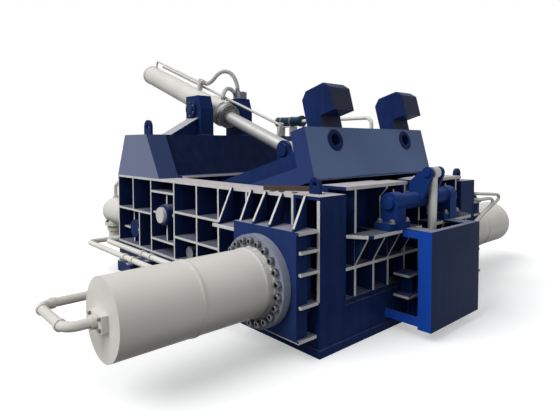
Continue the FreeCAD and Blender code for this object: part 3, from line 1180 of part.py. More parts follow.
def hose_manifold():
    """Valve block on top of the far post."""
    x0, x1 = MANIFOLD_X
    y0, y1 = MANIFOLD_Y
    return block(x0, x1, y0, y1, POST_TOP, POST_TOP + MANIFOLD_HEIGHT)


def hose(points):
    """Bent hose: each bend is as large as its two runs allow."""
    edges = []
    here = points[0]
    for before, corner, after in zip(points, points[1:], points[2:]):
        back = before - corner
        ahead = after - corner
        reach = 0.45 * min(back.Length, ahead.Length)
        back.normalize()
        ahead.normalize()
        half = back.getAngle(ahead) / 2
        radius = reach * math.tan(half)
        print("hose bend radius mm", round(radius, 1))
        start = corner + back * reach
        end = corner + ahead * reach
        middle = corner + (back + ahead).normalize() * (radius / math.sin(half) - radius)
        edges.append(Part.LineSegment(here, start).toShape())
        edges.append(Part.Arc(start, middle, end).toShape())
        here = end
    edges.append(Part.LineSegment(here, points[-1]).toShape())
    profile = Part.Wire(Part.makeCircle(HOSE_R, points[0], points[1] - points[0]))
    return Part.Wire(edges).makePipeShell([profile], True, True)


def lid_hoses():
    """Two hoses from the valve block on the far post to the lid cylinder's ports, with slack for its swing."""
    x0, x1 = MANIFOLD_X
    y = sum(MANIFOLD_Y) / 2
    top = POST_TOP + MANIFOLD_HEIGHT
    rear_end = along(LINE_BLOCK_AT + LINE_BLOCK_R + SEAT_GAP, LINE_BLOCK_TOP - HOSE_R - 15)
    rear = [V(x0 + 78, y, top), V(x0 + 78, y, top + 170), V(x0 - 12, y - 50, top + 310),
            V(x0 - 152, y - 130, top + 300), V(x0 - 252, y - 210, top + 180), rear_end + THRUST * 90, rear_end]
    port = along(LID_BARREL_AHEAD - 35, LID_BARREL_R + SEAT_GAP)
    valve = V(x1, y, POST_TOP + MANIFOLD_HEIGHT / 2)
    front = [port, port + RISE * 120, port + V(70, 100, 194), port + V(70, 220, 200), valve + V(100, 0, 0), valve]
    return group([hose(rear), hose(front)])


# ================================================================ the nodes
def main():
    """Build and write every node."""
    save("base_frame", base_frame().cut(cradle_well()))
    save("chamber_floor", chamber_floor())
    wall = near_side_wall()
    save("near_side_wall", wall)
    save("far_side_wall", far_side(wall))
    liner = near_wear_plate()
    save("chamber_wear_plates", group([liner, far_side(liner)]))
    save("front_wall", front_wall())
    save("bearing_shelf", bearing_shelf())
    save("rear_bulkhead", rear_bulkhead())
    save("ram_hood", ram_hood())
    save("bulkhead_pin_covers", bulkhead_pin_covers())
    for name, shape in (("cylinder_mount", near_cylinder_mount()), ("cylinder_flange", near_cylinder_flange()),
                        ("press_cylinder", near_press_cylinder()), ("cylinder_pipe", near_cylinder_pipe()),
                        ("press_ram", near_press_ram())):
        save("near_" + name, shape)
        save("far_" + name, far_side(shape))
    screws = near_flange_screws()
    save("press_flange_screws", group(screws + [far_side(screw) for screw in screws]))
    save("main_ram", main_ram())
    save("main_rods", main_rods())
    save("near_main_cylinder", main_cylinder(-1))
    save("far_main_cylinder", main_cylinder(1))
    save("main_cylinder_flanges", main_cylinder_flanges())
    save("rear_pipe", rear_pipe())
    save("lid_body", lid_body())
    save("lid_hooks", group([lid_hook(-1), lid_hook(1)]))
    save("lid_shaft", lid_shaft())
    save("hinge_caps", hinge_caps())
    save("lid_clevis", lid_clevis())
    save("portal_frame", portal_frame())
    save("near_post", post(-1))
    save("far_post", post(1))
    save("trunnion_covers", trunnion_covers())
    save("lid_cylinder", lid_cylinder())
    save("lid_gland", lid_gland())
    save("lid_rod", lid_rod())
    save("lid_pin", lid_pin())
    save("stroke_rod", stroke_rod())
    save("lid_barrel_line", lid_barrel_line())
    save("near_bearing", bearing(-1))
    save("far_bearing", bearing(1))
    save("turn_out_shaft", turn_out_shaft())
    save("cradle", cradle())
    save("lift_foot", lift_foot())
    save("lift_barrel", lift_barrel())
    save("lift_rod", lift_rod())
    save("lift_pin", lift_pin())
    save("guard_box", guard_box())
    save("supply_pipes", supply_pipes())
    save("pipe_block", pipe_block())
    save("return_filter", return_filter())
    save("filter_bracket", filter_bracket())
    save("filter_pipe", filter_pipe())
    save("lifting_eyes", group([near_lifting_eye(), far_lifting_ring()]))
    save("lock_handle", lock_handle())
    save("hose_manifold", hose_manifold())
    save("lid_hoses", lid_hoses())


main()
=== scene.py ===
"""Looks of a hydraulic turn-out scrap baler: paint, bare plate edges, fasteners, weld beads and hoses."""
import logging
import math
from dataclasses import dataclass, replace
from enum import Enum

import bmesh
import bpy
from mathutils import Matrix, Vector, noise


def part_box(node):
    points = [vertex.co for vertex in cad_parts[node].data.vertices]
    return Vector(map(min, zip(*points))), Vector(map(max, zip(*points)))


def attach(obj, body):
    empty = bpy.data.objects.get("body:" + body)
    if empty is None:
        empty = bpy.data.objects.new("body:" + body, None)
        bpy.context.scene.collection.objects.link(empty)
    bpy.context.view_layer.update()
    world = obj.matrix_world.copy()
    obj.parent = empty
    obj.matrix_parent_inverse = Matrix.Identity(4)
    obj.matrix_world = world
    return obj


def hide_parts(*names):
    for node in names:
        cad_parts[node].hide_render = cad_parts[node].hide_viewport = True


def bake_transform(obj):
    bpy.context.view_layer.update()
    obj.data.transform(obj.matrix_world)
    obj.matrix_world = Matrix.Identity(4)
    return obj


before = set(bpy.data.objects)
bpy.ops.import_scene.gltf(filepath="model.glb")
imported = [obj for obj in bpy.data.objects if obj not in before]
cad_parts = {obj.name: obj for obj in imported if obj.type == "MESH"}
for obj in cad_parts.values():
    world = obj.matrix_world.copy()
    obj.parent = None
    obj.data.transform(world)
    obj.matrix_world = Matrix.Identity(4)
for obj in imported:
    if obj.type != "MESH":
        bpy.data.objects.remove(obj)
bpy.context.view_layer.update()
LOG = logging.getLogger("baler")
Colour = tuple[float, float, float]
Triple = tuple[float, float, float]
Range = tuple[float, float]
FaceColour = tuple[Colour, float]
Socket = bpy.types.NodeSocket
Sockets = bpy.types.bpy_prop_collection

NEAR = (0.0, -1.0, 0.0)
FAR = (0.0, 1.0, 0.0)
FRONT = (1.0, 0.0, 0.0)
BACK = (-1.0, 0.0, 0.0)
UP = (0.0, 0.0, 1.0)
EVERYWHERE = 9.0
IMAGE_WIDTH = 560
IMAGE_HEIGHT = 420
FULL_TURN = 2 * math.pi
SHARP_FROM = math.radians(35.0)
HEXAGON = 6
ROUND = 24
FINE_ROUND = 40


class Slot(Enum):
    """Material slots of the record."""

    BLUE = "blue_paint"
    GREY = "grey_paint"
    WEAR = "wear_steel"
    FLANGE = "flange_steel"
    SCREW = "screw_steel"
    CHROME = "rod_chrome"
    TEAL = "teal_paint"
    RUST = "rusty_steel"
    RUBBER = "hose_rubber"


# ================================================================ node trees
@dataclass(frozen=True)
class Cloud:
    """Noise with a soft cut, which leaves separate patches.

    Scale is in clouds a metre, detail the number of finer layers and rough their strength. The
    result is 0 below low and 1 above high.
    """

    scale: float | Socket
    detail: float
    rough: float
    low: float | Socket
    high: float


class Tree:
    """Short way to add and join the nodes of one node tree."""

    def __init__(self, tree: bpy.types.NodeTree) -> None:
        """Keep the tree of a material, a world or a group."""
        self.tree = tree

    def node(self, kind: str, **settings: object) -> bpy.types.Node:
        """Add one node.

        Args:
            kind: Blender's name of the node type.
            **settings: Properties to set on it.

        Returns:
            The new node.
        """
        made = self.tree.nodes.new(kind)
        for name, value in settings.items():
            setattr(made, name, value)
        return made

    def feed(self, socket: Socket, value: object) -> None:
        """Join a socket to another one, or set its own value.

        Args:
            socket: The input socket.
            value: An output socket, a number, a vector or a colour.
        """
        if isinstance(value, Socket):
            self.tree.links.new(value, socket)
        elif socket.type == "RGBA":
            socket.default_value = (*value[:3], 1.0)
        else:
            socket.default_value = value

    def feed_all(self, node: bpy.types.Node, values: dict[str | int, object]) -> None:
        """Feed several inputs of a node.

        Args:
            node: The node.
            values: Sockets or values by the inputs' names or numbers.
        """
        for key, value in values.items():
            self.feed(node.inputs[key], value)

    def math(self, operation: str, *values: object, clamp: bool = False) -> Socket:
        """Arithmetic on numbers.

        Args:
            operation: The Math node's operation.
            *values: Sockets or numbers.
            clamp: Whether the result is kept between 0 and 1.

        Returns:
            The result's socket.
        """
        made = self.node("ShaderNodeMath", operation=operation, use_clamp=clamp)
        self.feed_all(made, dict(enumerate(values)))
        return made.outputs[0]

    def times(self, first: object, second: object) -> Socket:
        """The product of two numbers or their sockets."""
        return self.math("MULTIPLY", first, second)

    def vector(self, operation: str, *values: object) -> Sockets:
        """Arithmetic on vectors.

        Args:
            operation: The Vector Math node's operation.
            *values: Sockets or vectors.

        Returns:
            The outputs Vector and Value.
        """
        made = self.node("ShaderNodeVectorMath", operation=operation)
        self.feed_all(made, dict(enumerate(values)))
        return made.outputs

    def where(self) -> Socket:
        """The place of a point of the surface, in metres."""
        return self.node("ShaderNodeTexCoord").outputs["Object"]

    def noise(self, place: Socket, scale: object, detail: float, rough: float) -> Socket:
        """Cloudy noise.

        Args:
            place: The coordinates.
            scale: Clouds in a metre.
            detail: How many finer layers it has.
            rough: How strong the finer layers are.

        Returns:
            The socket of the value, about 0.5 on average.
        """
        made = self.node("ShaderNodeTexNoise")
        self.feed_all(made, {"Vector": place, "Scale": scale, "Detail": detail, "Roughness": rough})
        return made.outputs["Fac"]

    def ramp(self, value: object, low: object, high: object) -> Socket:
        """A value that goes from 0 at low to 1 at high, held outside.

        Args:
            value: The socket to read.
            low: Where the result is 0.
            high: Where the result is 1.

        Returns:
            The result's socket.
        """
        made = self.node("ShaderNodeMapRange", interpolation_type="SMOOTHSTEP")
        self.feed_all(made, {"Value": value, "From Min": low, "From Max": high})
        return made.outputs["Result"]

    def patches(self, place: Socket, cloud: Cloud) -> Socket:
        """Mask of the patches that a cut noise leaves."""
        return self.ramp(self.noise(place, cloud.scale, cloud.detail, cloud.rough), cloud.low, cloud.high)

    def mix(self, share: object, first: object, second: object) -> Socket:
        """Mix two colours.

        Args:
            share: 0 for the first, 1 for the second.
            first: A colour or its socket.
            second: A colour or its socket.

        Returns:
            The mixed colour's socket.
        """
        made = self.node("ShaderNodeMix", data_type="RGBA")
        self.feed_all(made, {"Factor": share, 6: first, 7: second})
        return made.outputs[2]

    def blend(self, share: object, first: object, second: object) -> Socket:
        """Mix two numbers.

        Args:
            share: 0 for the first, 1 for the second.
            first: A number or its socket.
            second: A number or its socket.

        Returns:
            The mixed number's socket.
        """
        made = self.node("ShaderNodeMix", data_type="FLOAT")
        self.feed_all(made, {"Factor": share, 2: first, 3: second})
        return made.outputs[0]

    def bump(self, height: Socket, strength: float, depth: float, normal: Socket | None = None) -> Socket:
        """The normal of a surface that isn't smooth.

        Args:
            height: The height's socket.
            strength: How strongly it shows.
            depth: The height's full depth, in metres.
            normal: The normal it starts from, where that isn't the mesh's own.

        Returns:
            The normal's socket.
        """
        made = self.node("ShaderNodeBump")
        self.feed_all(made, {"Strength": strength, "Distance": depth, "Height": height})
        if normal is not None:
            self.feed(made.inputs["Normal"], normal)
        return made.outputs["Normal"]


class Effect:
    """A shader node group that several finishes use, built once."""

    name = "effect"
    inputs: dict[str, float | Triple] = {}
    outputs: tuple[str, ...] = ("Mask",)

    @classmethod
    def group(cls) -> bpy.types.NodeTree:
        """The group, built at its first use.

        Returns:
            The shader node group.
        """
        made = bpy.data.node_groups.get(cls.name)
        if made is None:
            made = bpy.data.node_groups.new(cls.name, "ShaderNodeTree")
            for name, value in cls.inputs.items():
                kind = "NodeSocketVector" if isinstance(value, tuple) else "NodeSocketFloat"
                made.interface.new_socket(name, in_out="INPUT", socket_type=kind).default_value = value
            for name in cls.outputs:
                kind = "NodeSocketVector" if name == "Normal" else "NodeSocketFloat"
                made.interface.new_socket(name, in_out="OUTPUT", socket_type=kind)
            tree = Tree(made)
            source = tree.node("NodeGroupInput")
            target = tree.node("NodeGroupOutput")
            tree.feed_all(target, cls.build(tree, source.outputs))
        return made

    @classmethod
    def build(cls, tree: Tree, given: Sockets) -> dict[str, Socket]:
        """Fill the group.

        Args:
            tree: The group's tree.
            given: Sockets of the group's inputs.

        Returns:
            What feeds the group's outputs, by their names.
        """
        raise NotImplementedError

    @classmethod
    def place(cls, tree: Tree, **values: object) -> Sockets:
        """Put the group into a material.

        Args:
            tree: The material's tree.
            **values: Values of the group's inputs by name.

        Returns:
            The outputs of the group node.
        """
        made = tree.node("ShaderNodeGroup", node_tree=cls.group())
        tree.feed_all(made, values)
        return made.outputs


class FlatFace(Effect):
    """Mask of the flat faces that look one way and lie in one plane."""

    name = "flat_face"
    inputs = {"Facing": UP, "Offset": 0.0, "Tolerance": 0.004}
    same_way = 0.97

    @classmethod
    def build(cls, tree: Tree, given: Sockets) -> dict[str, Socket]:
        """Compare the face's direction and place with the plane's.

        Args:
            tree: The group's tree.
            given: Facing, Offset and Tolerance.

        Returns:
            Mask.
        """
        where = tree.node("ShaderNodeTexCoord").outputs
        looks = tree.vector("DOT_PRODUCT", where["Normal"], given["Facing"])["Value"]
        lies = tree.vector("DOT_PRODUCT", where["Object"], given["Facing"])["Value"]
        off = tree.math("ABSOLUTE", tree.math("SUBTRACT", lies, given["Offset"]))
        return {"Mask": tree.times(tree.math("GREATER_THAN", looks, cls.same_way),
                                   tree.math("LESS_THAN", off, given["Tolerance"]))}


class Between(Effect):
    """Mask of what lies between two planes."""

    name = "between_planes"
    inputs = {"Along": UP, "Low": 0.0, "High": 1.0}

    @classmethod
    def build(cls, tree: Tree, given: Sockets) -> dict[str, Socket]:
        """Compare the place along one direction with two values.

        Args:
            tree: The group's tree.
            given: Along, Low and High.

        Returns:
            Mask.
        """
        lies = tree.vector("DOT_PRODUCT", tree.where(), given["Along"])["Value"]
        return {"Mask": tree.times(tree.math("GREATER_THAN", lies, given["Low"]),
                                   tree.math("LESS_THAN", lies, given["High"]))}


class WornEdges(Effect):
    """Softened plate edges, with a mask where paint has rubbed off them."""

    name = "worn_edges"
    inputs = {"Radius": 0.004, "Wear": 0.5}
    outputs = ("Mask", "Normal")
    samples = 4
    edge_from = 0.01
    edge_to = 0.16
    unworn = 0.8

    @classmethod
    def build(cls, tree: Tree, given: Sockets) -> dict[str, Socket]:
        """Round the shading over the edges and break the rubbed line with noise.

        Args:
            tree: The group's tree.
            given: Radius and Wear.

        Returns:
            Mask and Normal.
        """
        rounded = tree.node("ShaderNodeBevel", samples=cls.samples)
        tree.feed(rounded.inputs["Radius"], given["Radius"])
        straight = tree.node("ShaderNodeNewGeometry").outputs["Normal"]
        same = tree.vector("DOT_PRODUCT", rounded.outputs["Normal"], straight)["Value"]
        edge = tree.ramp(tree.math("SUBTRACT", 1.0, same), cls.edge_from, cls.edge_to)
        low = tree.math("SUBTRACT", cls.unworn, given["Wear"])
        breaks = tree.patches(tree.where(), Cloud(9.0, 5.0, 0.7, low, 0.75))
        return {"Mask": tree.times(edge, breaks), "Normal": rounded.outputs["Normal"]}


class SettledDust(Effect):
    """Patchy pale dust on faces that look up."""

    name = "settled_dust"
    inputs = {"Amount": 0.5, "Scale": 6.0}
    specks = Cloud(70.0, 2.0, 0.6, 0.3, 0.6)
    lies_from = 0.45
    lies_to = 0.95
    cloud_share = 0.65
    speck_share = 0.35
    least = 0.25

    @classmethod
    def build(cls, tree: Tree, given: Sockets) -> dict[str, Socket]:
        """Take the upward faces and thin the dust with noise.

        Args:
            tree: The group's tree.
            given: Amount and Scale.

        Returns:
            Mask.
        """
        where = tree.node("ShaderNodeTexCoord").outputs
        up = tree.node("ShaderNodeSeparateXYZ")
        tree.feed(up.inputs[0], where["Normal"])
        lying = tree.ramp(up.outputs["Z"], cls.lies_from, cls.lies_to)
        clouds = tree.patches(where["Object"], Cloud(given["Scale"], 6.0, 0.65, 0.25, 0.7))
        specks = tree.patches(where["Object"], cls.specks)
        thick = tree.math("ADD", tree.times(clouds, cls.cloud_share), tree.times(specks, cls.speck_share))
        amount = tree.math("MULTIPLY", given["Amount"], tree.math("ADD", thick, cls.least), clamp=True)
        return {"Mask": tree.times(lying, amount)}


class SprayedCoat(Effect):
    """Cloudy shade and fine orange peel of sprayed paint."""

    name = "sprayed_coat"
    inputs = {"Cloud Scale": 2.5, "Peel Scale": 160.0}
    outputs = ("Clouds", "Streaks", "Height")
    upright = (14.0, 14.0, 1.2)
    streaks = Cloud(1.0, 5.0, 0.6, 0.35, 0.75)
    sag_scale = 3.0
    peel_share = 0.3

    @classmethod
    def build(cls, tree: Tree, given: Sockets) -> dict[str, Socket]:
        """Mix large clouds, upright streaks and a fine peel.

        Args:
            tree: The group's tree.
            given: Cloud Scale and Peel Scale.

        Returns:
            Clouds, Streaks and Height.
        """
        where = tree.where()
        stretched = tree.vector("MULTIPLY", where, cls.upright)["Vector"]
        peel = tree.noise(where, given["Peel Scale"], 2.0, 0.5)
        sag = tree.noise(where, cls.sag_scale, 2.0, 0.5)
        return {"Clouds": tree.patches(where, Cloud(given["Cloud Scale"], 4.0, 0.55, 0.3, 0.7)),
                "Streaks": tree.patches(stretched, cls.streaks),
                "Height": tree.math("ADD", tree.times(peel, cls.peel_share), sag)}


# ================================================================ finishes
@dataclass(frozen=True)
class Face:
    """A set of flat faces in one plane, such as the cut edges of a wall's ribs."""

    facing: Triple
    offset: float
    tolerance: float = 0.004
    limits: tuple[tuple[Triple, float, float], ...] = ()

    def mask(self, tree: Tree) -> Socket:
        """Mask of these faces.

        Args:
            tree: The material's tree.

        Returns:
            The mask's socket.
        """
        way = tuple(Vector(self.facing).normalized())
        result = FlatFace.place(tree, Facing=way, Offset=self.offset, Tolerance=self.tolerance)["Mask"]
        for along, low, high in self.limits:
            result = tree.times(result, Between.place(tree, Along=along, Low=low, High=high)["Mask"])
        return result


def through(facing: Triple, point: Triple, *limits: tuple[Triple, float, float]) -> Face:
    """Faces that look one way and lie in a plane through a point.

    Args:
        facing: Which way they look.
        point: A point of the plane.
        *limits: Direction, low and high of what bounds them.

    Returns:
        The set of faces.
    """
    way = Vector(facing).normalized()
    return Face(tuple(way), way.dot(Vector(point)), limits=limits)


def scaled(colour: Colour, share: float) -> Colour:
    """A colour made darker or lighter, no lighter than white."""
    return tuple(min(1.0, share * value) for value in colour)


@dataclass(frozen=True)
class Finish:
    """A surface finish, whose material is made once."""

    name: str
    slot: Slot
    colour: Colour
    roughness: float

    def material(self) -> bpy.types.Material:
        """The material, made at its first use.

        Returns:
            The material.
        """
        name = f"finish_{self.name}"
        made = bpy.data.materials.get(name)
        if made is None:
            made = bpy.data.materials.new(name)
            made.use_nodes = True
            made.node_tree.nodes.clear()
            made.diffuse_color = (*self.colour, 1.0)
            tree = Tree(made.node_tree)
            shader = tree.node("ShaderNodeBsdfPrincipled")
            output = tree.node("ShaderNodeOutputMaterial")
            tree.feed(output.inputs["Surface"], shader.outputs["BSDF"])
            tree.feed_all(shader, self.surface(tree))
        return made

    def surface(self, tree: Tree) -> dict[str, object]:
        """Make what feeds the shader.

        Args:
            tree: The material's tree.

        Returns:
            Sockets and values by the names of the shader's inputs.
        """
        raise NotImplementedError


@dataclass(frozen=True)
class Enamel(Finish):
    """Sprayed paint on steel plate, with cut edges left pale and tops rubbed bare."""

    shade: Colour = (0.01, 0.02, 0.06)
    cloud: float = 0.5
    dust: float = 0.35
    dust_colour: Colour = (0.36, 0.35, 0.35)
    dusty_roughness: float = 0.75
    wear: float = 0.25
    worn_colour: Colour = (0.3, 0.31, 0.35)
    pale_edges: tuple[Face, ...] = ()
    edge_colour: Colour = (0.68, 0.67, 0.64)
    edge_holes: float = 0.2
    bare_tops: tuple[Face, ...] = ()
    bare_colour: Colour = (0.47, 0.45, 0.44)
    bare_holes: float = 0.35
    dirt: Cloud = Cloud(11.0, 6.0, 0.7, 0.3, 0.75)
    dirt_share: float = 0.35
    dirt_shade: float = 0.55
    holes: Cloud = Cloud(26.0, 5.0, 0.75, 0.55, 0.7)
    # Colours laid on sets of faces: some are the part's own colour, most are painted light and shade on faces
    # that look towards or away from the light.
    tinted: tuple[tuple[Face, Colour, float], ...] = ()
    streaks: float = 0.04
    specular: float = 0.02
    # Painted shade on faces that look down: its strength, colour and range.
    underside_shade: float = 0.0
    underside_shade_colour: Colour = (0.085, 0.075, 0.06)
    underside_shade_range: Range = (0.1, 0.95)
    glossiest: float = -0.05
    dullest: float = 0.08
    bump: float = 0.08
    peel_depth: float = 0.004
    edge_radius: float = 0.005

    def laid_over(self, tree: Tree, colour: Socket, faces: tuple[Face, ...],
                  over: Colour, broken: float) -> tuple[Socket, object]:
        """Lay another colour over sets of faces, a little broken up.

        Args:
            tree: The material's tree.
            colour: The colour so far.
            faces: The sets of faces.
            over: The colour laid over them.
            broken: How much of the paint below shows through.

        Returns:
            The new colour and the mask.
        """
        if not faces:
            return colour, 0.0
        mask = faces[0].mask(tree)
        for face in faces[1:]:
            mask = tree.math("MAXIMUM", mask, face.mask(tree))
        where = tree.where()
        stain = tree.times(tree.patches(where, self.dirt), self.dirt_share)
        dirty = tree.mix(stain, over, scaled(over, self.dirt_shade))
        holes = tree.times(broken, tree.patches(where, self.holes))
        mask = tree.times(mask, tree.math("SUBTRACT", 1.0, holes))
        return tree.mix(mask, colour, dirty), mask

    def surface(self, tree: Tree) -> dict[str, object]:
        """Coat, face colours with painted light and shade, rubbed edges, dust and painted shade under the
        part, then the bare tops and pale edges.

        Args:
            tree: The material's tree.

        Returns:
            Sockets and values by the names of the shader's inputs.
        """
        coat = SprayedCoat.place(tree)
        edges = WornEdges.place(tree, Radius=self.edge_radius, Wear=self.wear)
        dust = SettledDust.place(tree, Amount=self.dust)["Mask"]
        colour = tree.mix(tree.times(coat["Clouds"], self.cloud), self.colour, self.shade)
        # Face colours, most of them painted light and shade.
        for face, tint, share in self.tinted:
            colour = tree.mix(tree.times(face.mask(tree), share), colour, tint)
        colour = tree.mix(tree.times(coat["Streaks"], self.streaks), colour, self.worn_colour)
        colour = tree.mix(tree.times(edges["Mask"], self.wear), colour, self.worn_colour)
        colour = tree.mix(dust, colour, self.dust_colour)
        # Painted shade: the more a face looks down, the darker it is.
        if self.underside_shade:
            turn = tree.node("ShaderNodeSeparateXYZ")
            tree.feed(turn.inputs["Vector"], tree.node("ShaderNodeNewGeometry").outputs["Normal"])
            under = tree.ramp(tree.times(turn.outputs["Z"], -1.0), *self.underside_shade_range)
            colour = tree.mix(tree.times(under, self.underside_shade), colour, self.underside_shade_colour)
        colour, bare = self.laid_over(tree, colour, self.bare_tops, self.bare_colour, self.bare_holes)
        colour, pale = self.laid_over(tree, colour, self.pale_edges, self.edge_colour, self.edge_holes)
        dull = tree.math("ADD", dust, tree.math("ADD", bare, pale), clamp=True)
        rough = tree.blend(coat["Clouds"], self.roughness + self.glossiest, self.roughness + self.dullest)
        return {"Base Color": colour, "Roughness": tree.blend(dull, rough, self.dusty_roughness),
                "Specular IOR Level": self.specular,
                "Normal": tree.bump(coat["Height"], self.bump, self.peel_depth, edges["Normal"])}


@dataclass(frozen=True)
class WornSteel(Finish):
    """Bare plate: scraped, smeared and partly dulled."""

    stain: Colour = (0.2, 0.16, 0.13)
    stained: float = 0.35
    stain_clouds: Cloud = Cloud(5.0, 6.0, 0.65, 0.45, 0.7)
    stained_metal: float = 0.3
    stained_roughness: float = 0.2
    scrapes: Cloud = Cloud(1.0, 5.0, 0.7, 0.3, 0.7)
    scrape_run: Triple = (3.0, 40.0, 40.0)
    scrape_share: float = 0.35
    scrape_shade: float = 0.6
    scrape_depth: float = 0.002
    edge_radius: float = 0.004
    edge_wear: float = 0.6
    edge_share: float = 0.5
    edge_light: float = 1.5
    metallic: float = 0.75
    bump: float = 0.2

    def surface(self, tree: Tree) -> dict[str, object]:
        """Scraped steel with dull stains and brighter edges.

        Args:
            tree: The material's tree.

        Returns:
            Sockets and values by the names of the shader's inputs.
        """
        where = tree.where()
        edges = WornEdges.place(tree, Radius=self.edge_radius, Wear=self.edge_wear)
        lines = tree.patches(tree.vector("MULTIPLY", where, self.scrape_run)["Vector"], self.scrapes)
        clouds = tree.patches(where, self.stain_clouds)
        stained = tree.times(clouds, self.stained)
        colour = tree.mix(tree.times(lines, self.scrape_share), self.colour,
                          scaled(self.colour, self.scrape_shade))
        colour = tree.mix(stained, colour, self.stain)
        colour = tree.mix(tree.times(edges["Mask"], self.edge_share), colour,
                          scaled(self.colour, self.edge_light))
        return {"Base Color": colour,
                "Metallic": tree.blend(stained, self.metallic, self.metallic * self.stained_metal),
                "Roughness": tree.blend(clouds, self.roughness, self.roughness + self.stained_roughness),
                "Normal": tree.bump(lines, self.bump, self.scrape_depth, edges["Normal"])}


@dataclass(frozen=True)
class PlatedRod(Finish):
    """Ground and plated piston rod with a fine grain and a film of oil."""

    film: Cloud = Cloud(7.0, 4.0, 0.6, 0.4, 0.75)
    film_colour: Colour = (0.4, 0.39, 0.35)
    film_share: float = 0.3
    film_roughness: float = 0.12
    grain_scale: float = 240.0
    grain_depth: float = 0.0005
    bump: float = 0.05
    metallic: float = 0.35

    def surface(self, tree: Tree) -> dict[str, object]:
        """Plating under a broken film of oil.

        Args:
            tree: The material's tree.

        Returns:
            Sockets and values by the names of the shader's inputs.
        """
        where = tree.where()
        film = tree.patches(where, self.film)
        grain = tree.noise(where, self.grain_scale, 2.0, 0.5)
        return {"Base Color": tree.mix(tree.times(film, self.film_share), self.colour, self.film_colour),
                "Metallic": self.metallic,
                "Roughness": tree.blend(film, self.roughness, self.roughness + self.film_roughness),
                "Normal": tree.bump(grain, self.bump, self.grain_depth)}


@dataclass(frozen=True)
class Rubber(Finish):
    """Dull hose cover, paler where it rubs."""

    rubbed: Colour = (0.3, 0.3, 0.3)
    rubs: Cloud = Cloud(16.0, 5.0, 0.7, 0.35, 0.75)
    rubbed_share: float = 0.5
    rubbed_roughness: float = 0.8
    grain_scale: float = 300.0
    grain_depth: float = 0.001
    bump: float = 0.15

    def surface(self, tree: Tree) -> dict[str, object]:
        """Grained cover with pale rubbed patches.

        Args:
            tree: The material's tree.

        Returns:
            Sockets and values by the names of the shader's inputs.
        """
        where = tree.where()
        rubs = tree.patches(where, self.rubs)
        grain = tree.noise(where, self.grain_scale, 2.0, 0.5)
        return {"Base Color": tree.mix(tree.times(rubs, self.rubbed_share), self.colour, self.rubbed),
                "Roughness": tree.blend(rubs, self.roughness, self.rubbed_roughness),
                "Normal": tree.bump(grain, self.bump, self.grain_depth)}


NAVY = Enamel("navy_paint", Slot.BLUE, (0.0115, 0.028, 0.115), 0.4, shade=(0.0065, 0.015, 0.066), cloud=0.6,
              dust_colour=(0.2, 0.2, 0.24), worn_colour=(0.12, 0.14, 0.22))
ROYAL = Enamel("royal_paint", Slot.BLUE, (0.0095, 0.038, 0.175), 0.36, shade=(0.006, 0.02, 0.1), cloud=0.4,
               dust=0.25, dust_colour=(0.12, 0.14, 0.24), worn_colour=(0.12, 0.16, 0.3))
# Grey paint, with painted shade on its undersides.
GREY = Enamel("grey_paint", Slot.GREY, (0.7, 0.68, 0.63), 0.42, shade=(0.6, 0.575, 0.52), cloud=0.45,
              dust=0.12, dust_colour=(0.7, 0.69, 0.66), wear=0.15, worn_colour=(0.7, 0.69, 0.66),
              bump=0.05, specular=0.2, underside_shade=0.75)
CREAM = Enamel("cream_paint", Slot.GREY, (0.76, 0.75, 0.69), 0.42, shade=(0.62, 0.6, 0.54), cloud=0.4,
               dust=0.1, dust_colour=(0.7, 0.68, 0.62), wear=0.15, worn_colour=(0.7, 0.68, 0.62), bump=0.05)
PRIMER = Enamel("pale_primer", Slot.FLANGE, (0.26, 0.28, 0.35), 0.5, shade=(0.17, 0.19, 0.25), cloud=0.6,
                dust=0.2, dust_colour=(0.4, 0.41, 0.46), wear=0.5, worn_colour=(0.5, 0.52, 0.58), bump=0.12)
CAP_WHITE = Enamel("white_cap", Slot.GREY, (0.66, 0.65, 0.64), 0.5, shade=(0.5, 0.48, 0.45), cloud=0.4,
                   dust=0.1, dust_colour=(0.6, 0.58, 0.55), wear=0.3, worn_colour=(0.4, 0.38, 0.35),
                   bump=0.2)
TEAL = Enamel("teal_paint", Slot.TEAL, (0.006, 0.03, 0.062), 0.25, shade=(0.004, 0.018, 0.04), cloud=0.5,
              dust=0.1, bump=0.05, specular=0.1)
SEAM = Enamel("weld_seam", Slot.BLUE, (0.2, 0.21, 0.25), 0.6, shade=(0.03, 0.04, 0.09), cloud=1.0,
              dust=0.3, bump=0.5)
BLUE_SEAM = Enamel("painted_seam", Slot.BLUE, (0.03, 0.045, 0.12), 0.45, shade=(0.012, 0.02, 0.07), cloud=0.6,
                   bump=0.4)
WEAR = WornSteel("wear_steel", Slot.WEAR, (0.33, 0.32, 0.31), 0.38)
SCREW = WornSteel("screw_steel", Slot.SCREW, (0.16, 0.165, 0.175), 0.35, stain=(0.09, 0.085, 0.08),
                  stained=0.5)
GLAND = WornSteel("gland_steel", Slot.SCREW, (0.2, 0.2, 0.2), 0.42, stain=(0.08, 0.075, 0.07), stained=0.6)
RUST = WornSteel("rusty_steel", Slot.RUST, (0.06, 0.045, 0.038), 0.75, stain=(0.1, 0.058, 0.036), stained=0.9,
                 metallic=0.2, bump=0.6)
CHROME = PlatedRod("rod_chrome", Slot.CHROME, (0.46, 0.46, 0.45), 0.42)
HOSE = Rubber("hose_cover", Slot.RUBBER, (0.45, 0.45, 0.44), 0.6, rubbed=(0.7, 0.69, 0.67))


# ================================================================ shapes
def turned(place: Vector, way: Vector) -> Matrix:
    """Matrix that stands a shape at a place with its +Z along a direction.

    Args:
        place: Where its origin goes.
        way: Where its +Z points.

    Returns:
        The matrix.
    """
    return Matrix.Translation(place) @ way.to_track_quat("Z", "Y").to_matrix().to_4x4()


SPLINE_STEPS = 24


